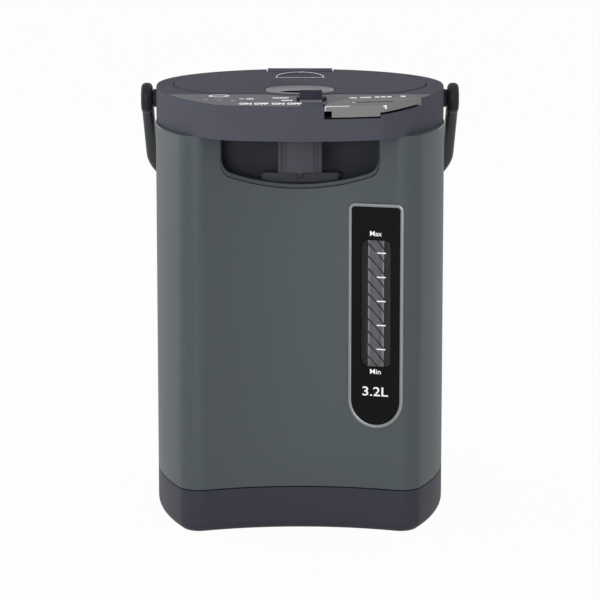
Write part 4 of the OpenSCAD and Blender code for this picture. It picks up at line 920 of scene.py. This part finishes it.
def lidCover():
    look, back, skin = lidLook, lidSizes["back"], lidZ - lidLook["skin"]
    blockTop = lidZ + look["blockRise"]
    barrel = blockTop - hingeSizes["z"]
    cover = stacked(lidPlan, easedSides(panZ, lidZ, 0.3, look["edge"], levels=[panZ + 6, panZ + 12]))
    hollow = prism(lidPlan, look["wall"], panZ - 1, skin)
    carved(cover, shared(hollow, box(-far, far, -far, back - 4, panZ - 2, skin + 1)))
    block = bar(arc(hingePlace[1:], barrel, -90, 90, 24)
                + [(back - 5, blockTop), (back - 6, lidZ - 0.5), (back - 3.5, hingeSizes["z"] - barrel)],
                -look["block"], look["block"])
    joined(cover, eased(block, 0.5, 30), rod(look["press"] + 2, lidZ - 8, lidZ - 1, pressPlace))
    hole, flare = look["press"], look["flare"]
    pressHole = lathe([(hole, lidZ - 9), (hole, lidZ - flare), (hole + flare * 0.3, lidZ - flare * 0.3),
                       (hole + flare, lidZ), (hole + flare, lidZ + 2)], pressPlace)
    carved(cover, pressHole, prism(ventPlan, -0.1, lidZ - 1.6, lidZ + 3),
           rod(look["chimney"], skin - 1, lidZ, (0, ventSizes["chimneyY"], 0)),
           rod(hingeSizes["pin"] + 0.06, -30, 30, hingePlace, "X", count=32))
    piece(cover, "lidCover", "lid", "headPlastic", "head_plastic", "lid_cover")


ventLook = {"rim": 0.35, "floor": 1.0, "slats": 6, "slatStep": 2.4, "slatSize": (18, 1.1, 3),
            "trim": ((0.35, -0.5), (0.3, 0.1), (0.5, 0.25), (0.9, 0.25), (1.1, 0.1), (1.15, -0.5))}


def steamVent():
    look, rim, floor = ventLook, ventLook["rim"], lidZ - ventLook["floor"]
    dish = stacked(ventPlan, [(0, lidZ - 1.6), (0, lidZ), (0.1, lidZ + rim * 0.7), (0.4, lidZ + rim),
                              (0.9, lidZ + rim), (1.3, lidZ + rim * 0.6), (1.8, lidZ - 0.3), (2.6, floor),
                              (3.4, floor)])
    gapY = ventSizes["chimneyY"] - look["slatStep"] * (look["slats"] - 1) / 2
    carved(dish, grown(rowTree, "headPlastic", {"Count": look["slats"], "Start": (0, gapY, lidZ - 1.5),
                                                "Step": (0, look["slatStep"], 0), "Size": look["slatSize"]}))
    piece(dish, "steamVent", "lid", "headPlastic", "head_plastic", "steam_vent")
    # A near-white ring round the vent's raised rim: a painted highlight where the lip catches the light
    piece(ringed(ventPlan, look["trim"], lidZ + rim), "ventRimHighlight", "lid", "trimPaint", "silver_plastic")


pressSizes = {"radius": 25.3, "rise": 0.9, "thick": 4.0, "floor": 20.0, "floorDrop": 1.1, "lip": 1.4,
              "edge": 0.9, "shadePatch": (15.5, 8, 1, 1), "shadePatchY": -8.5}


def pressPlate():
    radius, thick, floor, drop, lip, edge = pick(pressSizes, "radius thick floor floorDrop lip edge")
    low, top = span("press_plate")[0], lidZ + pressSizes["rise"]
    under, level, inner = top - thick, top - drop, radius - lip - 0.3
    wall = [(inner - (inner - floor) * i / 10, top - drop * (1 - (1 - i / 10) ** 2)) for i in range(11)]
    bend = [(radius - edge + edge * cos(a), top - edge + edge * sin(a)) for a in (0.4, 0.8, 1.2, 1.57)]
    profile = ([(0, under), (radius - 2, under), (radius - 2, low), (radius, low), (radius, top - edge)]
               + bend + [(radius - lip, top)] + wall + [(floor, level - 0.7), (0, level - 0.7)])
    piece(lathe(profile, pressPlace, count=128), "pressPlate", "press", "pressPlastic", "silver_plastic",
          "press_plate", smooth=50)
    disc = lathe([(0, level - 0.68), (floor - 0.1, level - 0.68), (floor - 0.1, level - 0.2),
                  (floor - 0.5, level), (floor - 3, level - 0.1), (0, level - 0.5)], pressPlace)
    piece(disc, "pressCentre", "press", "pressPlastic", "silver_plastic", smooth=50)
    # A dark flattened disc on the dish floor towards the front: painted shade for the dark crescent inside
    # the dish
    shadePatch = lathe([(0, -0.6), (1, -0.6), (1, 0), (0.97, 0.12), (0, 0.15)], count=64)
    place = at(0, pressY + pressSizes["shadePatchY"], level - 0.1)
    moved(shadePatch, place @ Matrix.Diagonal(pressSizes["shadePatch"]))
    piece(shadePatch, "pressShadePatch", "press", "deepBlack", "black_plastic", smooth=50)


pumpLook = {"coil": {"Turns": 5.0, "Radius": 10.0, "Wire": 0.85}, "folds": 5, "bellows": 19, "foldIn": 2.4,
            "neck": 14.5, "flat": 18.8, "wall": 0.6}


def airPump():
    low, high = span("pump_spring")
    spring = grown(coilTree, "steel", {**pumpLook["coil"], "Height": high - low - 1.8})
    moved(spring, at(0, pressY, low + 0.9))
    folds, radius, foldIn, neck, flat, wall = pick(pumpLook, "folds bellows foldIn neck flat wall")
    step = (high - low - 1) / folds
    outside = [(radius - foldIn * (i % 2), low + 0.5 + step * i / 2) for i in range(2 * folds + 1)]
    inside = [(r - 1, z) for r, z in reversed(outside)]
    bellows = lathe([(neck, low), (flat, low)] + outside + [(flat, high), (neck, high), (neck, high - wall)]
                    + inside + [(neck, low + wall)], pressPlace, wrap=True)
    travel = next(j for j in frame["joints"] if j["name"] == "press_slide")["range_m"]
    keep = 1 - (travel[1] * 1000 + 0.3) / (high - low)
    for thing, name, paint, node in ((spring, "pumpSpring", "steel", "pump_spring"),
                                     (bellows, "pumpBellows", "silicone", "pump_bellows")):
        made = piece(thing, name, "lid", paint, paint, node)
        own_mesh(made)


linerLook = {"wall": 2.0, "back": -86.0, "stemR": 2.9}
leverSizes = {"half": 28.0, "z": recessSizes["low"] + 7.2, "height": 8.0, "y": -100.0, "thick": 3.0,
              "stem": 19.0, "stemR": 2.5}


def recessLiner():
    look = linerLook
    liner = plate(recessOutline, [(-look["wall"], -150), (-look["wall"], look["back"])])
    shared(liner, prism(bodyPlan, shellLook["sheet"] + 0.1, recessSizes["low"] - 9, headZ))
    stems = [rod(look["stemR"], -150, -60, (side * leverSizes["stem"], 0, leverSizes["z"]), "Y", count=32)
             for side in sides]
    carved(liner, recessCut(), *stems)
    piece(liner, "recessLiner", "pot", "blackPlastic", "black_plastic", "recess_liner")


rimLook = {"proud": 0.3, "depth": 3.5, "edge": 0.35, "seam": 0.45}


def recessRim():
    depth, edge, proud, seam = pick(rimLook, "depth edge proud seam")
    outer, inner = recessPath(seam * 0.4, seam), recessPath(*pick(recessSizes, "sideLip lowLip"))
    section = [(0, depth), (0, edge), (0.06, -proud * 0.3), (0.2, -proud)]
    section += [(0.8, -proud), (0.94, -proud * 0.3), (1, edge), (1, depth)]
    rings = []
    for start, end in zip(outer, inner):
        points = [(start.lerp(end, share), drop) for share, drop in section]
        rings.append([(p.x, frontY(p.x) + drop, min(p.y, headZ - 0.1)) for p, drop in points])
    # The lip takes the darker rim paint, painted shade for a lip that faces into the recess
    piece(loft(rings), "recessRim", "pot", "rimPaint", "shell_paint", "recess_rim", smooth=60)


nozzleSizes = {"y": -126.0, "width": 31.0, "deep": 26.0, "height": 24.0, "panel": 19.6, "step": 1.6}


def nozzlePlan(inset):
    half, deep, panel = [size / 2 for size in pick(nozzleSizes, "width deep panel")]
    step, groove, front = nozzleSizes["step"], half - 2.2 + inset * 0.5, -deep + inset
    right = [(panel - inset, front), (panel - inset, front + step), (groove, front + step + 1),
             (groove, front + 1), (half - 1.2, front + 0.6), (half - inset, front + 2),
             (half - inset, deep - 4), (half - 1.2 - inset, deep - 1.2 - inset), (half - 4, deep - inset)]
    points = [Vector(p) for p in right]
    return [p + Vector((0, nozzleSizes["y"])) for p in points + mirrored(points)]


def nozzleCover():
    low, place = headZ - nozzleSizes["height"], (0, nozzleSizes["y"], 0)
    cover = eased(stacked(nozzlePlan, easedSides(low, headZ + 1, 1.1, 0, hold=0)), 0.35, 50)
    carved(cover, rod(4.1, low - 5, low + 8, place), rod(9, low + 2.2, headZ + 3, place))
    piece(cover, "nozzleCover", "pot", "nozzlePlastic", "black_plastic", "nozzle_cover")


leverLook = {"bump": ((0, 2), (2.3, 2), (2.3, 0.2), (2.1, -0.7), (1.5, -1.4), (0.8, -1.75), (0, -1.85)),
             "groove": ((2.35, -1), (2.9, -1), (2.9, 0.4), (2.35, 0.4)), "bumpUp": 1.6,
             "end": ((0, -0.4), (1.3, -0.4), (1.5, -0.1), (1.5, 1.6), (0, 1.6))}


def cupLever():
    half, y, z, stem, stemR = pick(leverSizes, "half y z stem stemR")
    low, high = z - leverSizes["height"] / 2, z + leverSizes["height"] / 2
    paddle = eased(box(-half, half, y, y + leverSizes["thick"], low, high), 0.9, 40, 3)
    stemEnd = span("cup_lever", 1)[1] - shiftY
    stems = [rod(stemR, y + 1, stemEnd, (side * stem, 0, z), "Y", count=32) for side in sides]
    middle = (0, y, z + leverLook["bumpUp"])
    bump = lathe(leverLook["bump"], middle, "Y", 40)
    joined(carved(paddle, lathe(leverLook["groove"], middle, "Y", 40, wrap=True)), bump, *stems)
    piece(paddle, "cupLever", "lever", "leverPlastic", "black_plastic", "cup_lever")
    ends = [lathe(leverLook["end"], (side * (half - 0.4), y + 0.6, high - 1.9), "X", 24) for side in sides]
    moved(ends[0], at(-1.2))
    piece(gathered(ends), "leverEnds", "lever", "blackPlastic", "black_plastic")


gaugeLook = {"back": 1.5, "fasciaDrop": 0.5, "tickSize": (6.5, 0.4, 0.9), "tickX": 4.1, "tickLow": 137.5,
             "tickStep": 17.75, "ticks": 5,
             "marks": (("Max", 8.8, 3.7, 222.7), ("Min", 8.0, 3.7, 120.9), ("3.2L", 19.3, 6.8, 106.0))}


def levelGauge():
    look, border, face = gaugeLook, gaugeSizes["border"], -gaugeSizes["proud"]
    back, front = look["back"], face + look["fasciaDrop"]
    bezel = plate(gaugeOutline, [(0, back), (0, face + 0.9), (0.27, face + 0.27), (0.9, face),
                                 (border - 0.5, face), (border - 0.1, face + 0.2), (border, face + 0.6)])
    carved(bezel, plate(gaugeOutline, [(border, -9), (border, 9)]))
    piece(moved(bezel, gaugeFrame), "gaugeBezel", "pot", "bezelAndHighlightPaint", "bezel_plastic", "gauge_bezel")
    fascia = plate(gaugeOutline, [(border + 0.1, back), (border + 0.1, front + 0.2), (border + 0.3, front),
                                  (border + 0.9, front)])
    opening = [(-0.5, front - 2), (-0.5, front), (-0.1, front + 0.4), (0, front + 0.6), (0, 9)]
    carved(fascia, plate(windowOutline, opening))
    piece(moved(fascia, gaugeFrame), "gaugeFascia", "pot", "fasciaPlastic", "fascia_plastic", "gauge_fascia")
    pane = plate(windowOutline, [(0.1, 0.7), (0.1, -0.6), (0.25, -0.85), (0.6, -0.9), (1.2, -0.9)])
    piece(moved(pane, gaugeFrame), "gaugeWindow", "pot", "window", "clear_plastic", "gauge_window")
    ticks = grown(rowTree, "print", {"Count": look["ticks"], "Start": (look["tickX"], -0.95, look["tickLow"]),
                                     "Step": (0, 0, look["tickStep"]), "Size": look["tickSize"]})
    upright = about("X", pi / 2)
    words = [moved(lettering(text, width, height), at(0, front - 0.1, z) @ upright)
             for text, width, height, z in look["marks"]]
    piece(moved(gathered([ticks] + words), gaugeFrame), "levelMarks", "pot", "print", "bezel_plastic")


letterLook = {"size": 1.38, "extrude": 0.12, "steps": 4}


# Plain lettering, fitted to a width and a height and laid flat about the origin
def lettering(text, width, height, bold=0.012):
    curve = bpy.data.curves.new("words", "FONT")
    curve.body = text
    curve.size = height * letterLook["size"]
    curve.offset = height * bold
    curve.extrude = letterLook["extrude"]
    curve.resolution_u = letterLook["steps"]
    thing = newObject("words", curve)
    words = newObject("words", evaluated(thing))
    bpy.data.objects.remove(thing)
    (x0, x1), (y0, y1) = [(min(row), max(row)) for row in zip(*[v.co[:2] for v in words.data.vertices])]
    fit = Matrix.Diagonal((width / (x1 - x0), height / (y1 - y0), 1, 1))
    return moved(words, fit @ at(-(x0 + x1) / 2, -(y0 + y1) / 2))


# Words, dashes and a ring printed on the deck, as x, y, width and height
deckLook = {
    "words": (("ON", -36.2, -103, 5.4, 7), ("OFF", -14, -97, 12, 6), ("ON", -9.5, -113, 8, 7),
              ("ON OFF", -33, -133.5, 21, 11), ("ON OFF", -9.6, -133.5, 21.5, 11),
              ("ON", 38.4, -96.5, 5.4, 7), ("OFF", 47.5, -94, 8.4, 6.5)),
    "dashes": ((56, -91, 3.4, 5.5), (60.4, -90, 3.4, 5.5), (64.8, -89, 3.4, 5.5), (75, -86.5, 3.6, 6.5),
               (-42, -103, 3.6, 2.4)),
    "ring": (-59, -84, 7.5, 1.6), "bold": 0.08,
}


def deckMarks():
    low, high = topZ - 0.05, topZ + 0.1
    things = [moved(lettering(text, width, height, deckLook["bold"]), at(x, y, topZ - 0.02))
              for text, x, y, width, height in deckLook["words"]]
    things += [box(x - wide / 2, x + wide / 2, y - deep / 2, y + deep / 2, low, high)
               for x, y, wide, deep in deckLook["dashes"]]
    x, y, radius, wide = deckLook["ring"]
    section = [(radius, low), (radius, high), (radius - wide, high), (radius - wide, low)]
    things.append(lathe(section, (x, y, 0), count=48, wrap=True))
    piece(gathered(things), "deckMarks", "pot", "deckPrintPaintedGlow", "deck_plastic")


saddleLook = {"start": 32, "end": 168, "thick": 0.4, "over": 3, "sheetHalf": 13}


def tubeSaddle():
    look = saddleLook
    low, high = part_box("sight_tube")
    centre = (low + high) / 2 * 1000
    radius, turn = gaugeSizes["tubeR"] + 0.1, degrees(gaugeTurn)
    start, end = turn + look["start"], turn + look["end"]
    ring = arc((0, 0), radius + look["thick"], start, end, 30) + arc((0, 0), radius, end, start, 30)
    wall = [Vector((p.x + centre.x, p.y + centre.y - shiftY)) for p in ring]
    low = windowLow - look["over"]
    high = low + windowH + 2 * look["over"]
    piece(stacked(lambda inset: wall, [(0, low), (0, high)]), "tubeSaddle", "pot", "stripes", "bezel_plastic")
    deep, half = centre.y - shiftY - gaugeFrame.translation.y + radius + 0.1, look["sheetHalf"]
    sheet = moved(box(-half, half, deep, deep + 0.6, low, high), gaugeFrame)
    piece(sheet, "gaugeBacking", "pot", "blackPlastic", "black_plastic")


def bailHandle():
    size = bailSizes
    out, thick, pin, boss, inner, cap = pick(size, "out thick pin boss inner cap")
    reach, bend, middle = out - thick / 2, size["bend"] - thick / 2, size["length"] - size["bend"]
    right = [Vector((reach, middle * t)) for t in (0, 0.3, 0.6)]
    right += arc((reach - bend, middle), bend, 0, 90, 40)
    grip = grown(sweepTree, "bailPlastic", {"Width": thick, "Height": size["deep"], "Corner": size["corner"]},
                 [(p.x, p.y, 0) for p in right + mirrored(right)])
    squared(grip)
    for side in sides:
        ends = sorted((side * (out - thick), side * out))
        joined(grip, rod(size["eye"], *ends, axis="X", edge=size["eyeEdge"], count=96))
    carved(grip, rod(pin + 0.06, -far, far, axis="X"), rod(cap + 0.4, out - 1.8, far, axis="X"),
           rod(cap + 0.4, -far, 1.8 - out, axis="X"))
    hang = at(*bailPlace) @ about("X", radians(-size["hang"]))
    piece(moved(grip, hang), "bailHandle", "bail", "bailPlastic", "bail_plastic", "bail_handle")
    eyeIn, bossIn = out - thick - 0.3, 107
    steps = [(0, inner), (pin, inner), (pin, bossIn), (boss, bossIn), (boss, bossIn + 2.6),
             (boss - 0.5, eyeIn), (pin, eyeIn), (pin, out - 1.6), (cap, out - 1.6), (cap, out - 0.5),
             (cap - 0.4, out - 0.1), (0, out - 0.1)]
    pins = [lathe([(r, x * side) for r, x in steps], bailPlace, "X", 64) for side in sides]
    piece(gathered(pins), "bailPivots", "pot", "bailPlastic", "bail_plastic", "bail_pivots")


tankSizes = {"radius": 88.0, "sheet": 1.0, "neck": 64.0, "bead": 70.0, "round": 6.0, "wall": 60,
             "shoulder": 46, "floor": 11}


def innerTank():
    low, rim = span("inner_tank")
    low += tankSizes["floor"]
    radius, sheet, neck, bead, bend = pick(tankSizes, "radius sheet neck bead round")
    wall, shoulder = [rim - drop for drop in pick(tankSizes, "wall shoulder")]
    corner = [(radius - bend + bend * sin(a), low + bend * (1 - cos(a)))
              for a in [pi / 2 * i / 8 for i in range(9)]]
    outside = ([(0, low)] + corner + [(radius, wall - 3), (radius - 1.2, wall), (neck + 2.4, shoulder - 1),
               (neck + 1, shoulder + 2), (neck + 1, rim - 2), (bead, rim - 1.4), (bead, rim - 0.4)])
    inside = [(max(r - sheet, 0), z + (sheet if z < low + 5 else 0)) for r, z in reversed(outside[:-3])]
    rimTop = [(bead - 0.6, rim), (neck + 0.6, rim), (neck, rim - 0.8)]
    tank = lathe(outside + rimTop + inside, count=128)
    piece(tank, "innerTank", "pot", "steel", "steel", "inner_tank", smooth=50)


for build in (bodyShell, baseTray, headHousing, controlDeck, dispenseKey, keyWell, lidLatch, lidCover,
              steamVent, pressPlate, airPump, recessLiner, recessRim, nozzleCover, cupLever, levelGauge,
              deckMarks, tubeSaddle, bailHandle, innerTank):
    build()
    print("stage:", build.__name__)

# CAD nodes whose shape is right keep their mesh and get a finish
nodePaints = {
    "basePlastic": ("base_cover",),
    "rubber": ("rubber_feet",),
    "darkSteel": ("latch_pin", "spout_pipe"),
    "steel": ("base_screws", "latch_spring", "inner_lid_plate", "lid_screws", "lid_hinge_pin",
              "heat_shield", "support_posts", "pump_motor"),
    "headPlastic": ("hood_floor",),
    "board": ("control_board", "power_board"),
    "blackPlastic": ("key_switch", "cup_switch", "lid_base", "thermostat", "motor_magnet",
                     "pump_chamber", "power_inlet", "gauge_well"),
    "tube": ("sight_tube",),
    "silicone": ("lid_gasket", "tank_seal", "pump_impeller", "inlet_hose", "riser_hose", "spout_hose"),
    "aluminium": ("heater_plate",),
    "wool": ("insulation_wrap",),
    "brass": ("inlet_pins",),
}
for paint, names in nodePaints.items():
    for name in names:
        slots = nodes[name].material_slots
        for slot in slots:
            slot.material = paints[paint]
        if not slots:
            nodes[name].data.materials.append(paints[paint])
print("stage: nodes painted")


# Floor, light and camera
stageLook = {"floor": 12.0, "ambient": 0.4, "floorShade": 0.03, "target": (0, 0, 0.17)}


# 1 for a camera, glossy or transmission ray
def seenShare(start):
    first, second, third = [start.node("LightPath", {}, {}, "Is " + kind + " Ray")
                            for kind in ("Camera", "Glossy", "Transmission")]
    return start.maths("MINIMUM", first + second + third, 1.0)


def floorMaterial():
    material, coords = newMaterial("paleFloor", {"Roughness": 0.9, "Specular IOR Level": 0.1})
    connect(material, colour=coords.noise(3, 2).between(tone(246, 246, 246), tone(250, 250, 250)))
    tree = material.node_tree
    glow = coords.node("Emission", {}, {"Color": (1, 1, 1, 1), "Strength": 1.0})
    lit = Wire(tree, tree.nodes["Principled BSDF"].outputs[0])
    white = seenShare(coords) * (1 - stageLook["floorShade"])
    mixed = coords.node("MixShader", {}, {0: white, 1: lit, 2: glow})
    tree.links.new(mixed.socket, tree.nodes["Material Output"].inputs["Surface"])
    return material


def floorAndWorld():
    size, ambient = stageLook["floor"], stageLook["ambient"]
    mesh = bpy.data.meshes.new("floor")
    corners = [(x * size, y * size, 0) for x, y in ((-1, -1), (1, -1), (1, 1), (-1, 1))]
    mesh.from_pydata(corners, [], [(0, 1, 2, 3)])
    mesh.materials.append(floorMaterial())
    newObject("floor", mesh)
    world = bpy.data.worlds.new("studio")
    bpy.context.scene.world = world
    world.use_nodes = True
    background = world.node_tree.nodes["Background"]
    background.inputs["Color"].default_value = (1, 1, 1, 1)
    strength = seenShare(Wire(world.node_tree)) * (1 - ambient) + ambient
    world.node_tree.links.new(strength.socket, background.inputs["Strength"])


# Place, size and power
lampsLook = {
    "leftBox": ((-1.9, 1.0, 0.6), (0.5, 1.6), 6.5),
    "leftStrip": ((-2.1, -0.2, 0.5), (0.3, 1.4), 6.5),
    "rightStrip": ((1.8, 1.2, 0.4), (0.3, 1.4), 0.5),
    "rightEdge": ((2.1, -0.9, 0.5), (0.08, 1.2), 1.6),
    "topBox": ((0.0, -0.3, 2.2), (1.6, 1.2), 0.1),
    "frontBox": ((-0.55, -2.9, 0.5), (0.8, 0.8), 20),
    "frontHigh": ((-0.2, -2.5, 1.9), (1.2, 1.0), 3.5),
}


def studioLamps():
    target = Vector(stageLook["target"])
    for name, (place, size, power) in lampsLook.items():
        light = bpy.data.lights.new(name, "AREA")
        light.shape = "RECTANGLE"
        light.size, light.size_y = size
        light.energy = power
        lamp = newObject(name, light)
        lamp.location = place
        lamp.rotation_euler = (target - lamp.location).to_track_quat("-Z", "Y").to_euler()


cameraLook = {"place": (0, -2.2518, 0.5643), "tilt": 79.7, "lens": 180.4, "sensor": 36, "end": 60}


def camera():
    data = bpy.data.cameras.new("view")
    data.lens = cameraLook["lens"]
    data.sensor_width = cameraLook["sensor"]
    data.clip_end = cameraLook["end"]
    eye = newObject("view", data)
    eye.location = cameraLook["place"]
    eye.rotation_euler = (radians(cameraLook["tilt"]), 0, 0)
    bpy.context.scene.camera = eye
    bpy.context.scene.view_settings.view_transform = "Standard"


floorAndWorld()
studioLamps()
camera()
print("stage: studio ready")
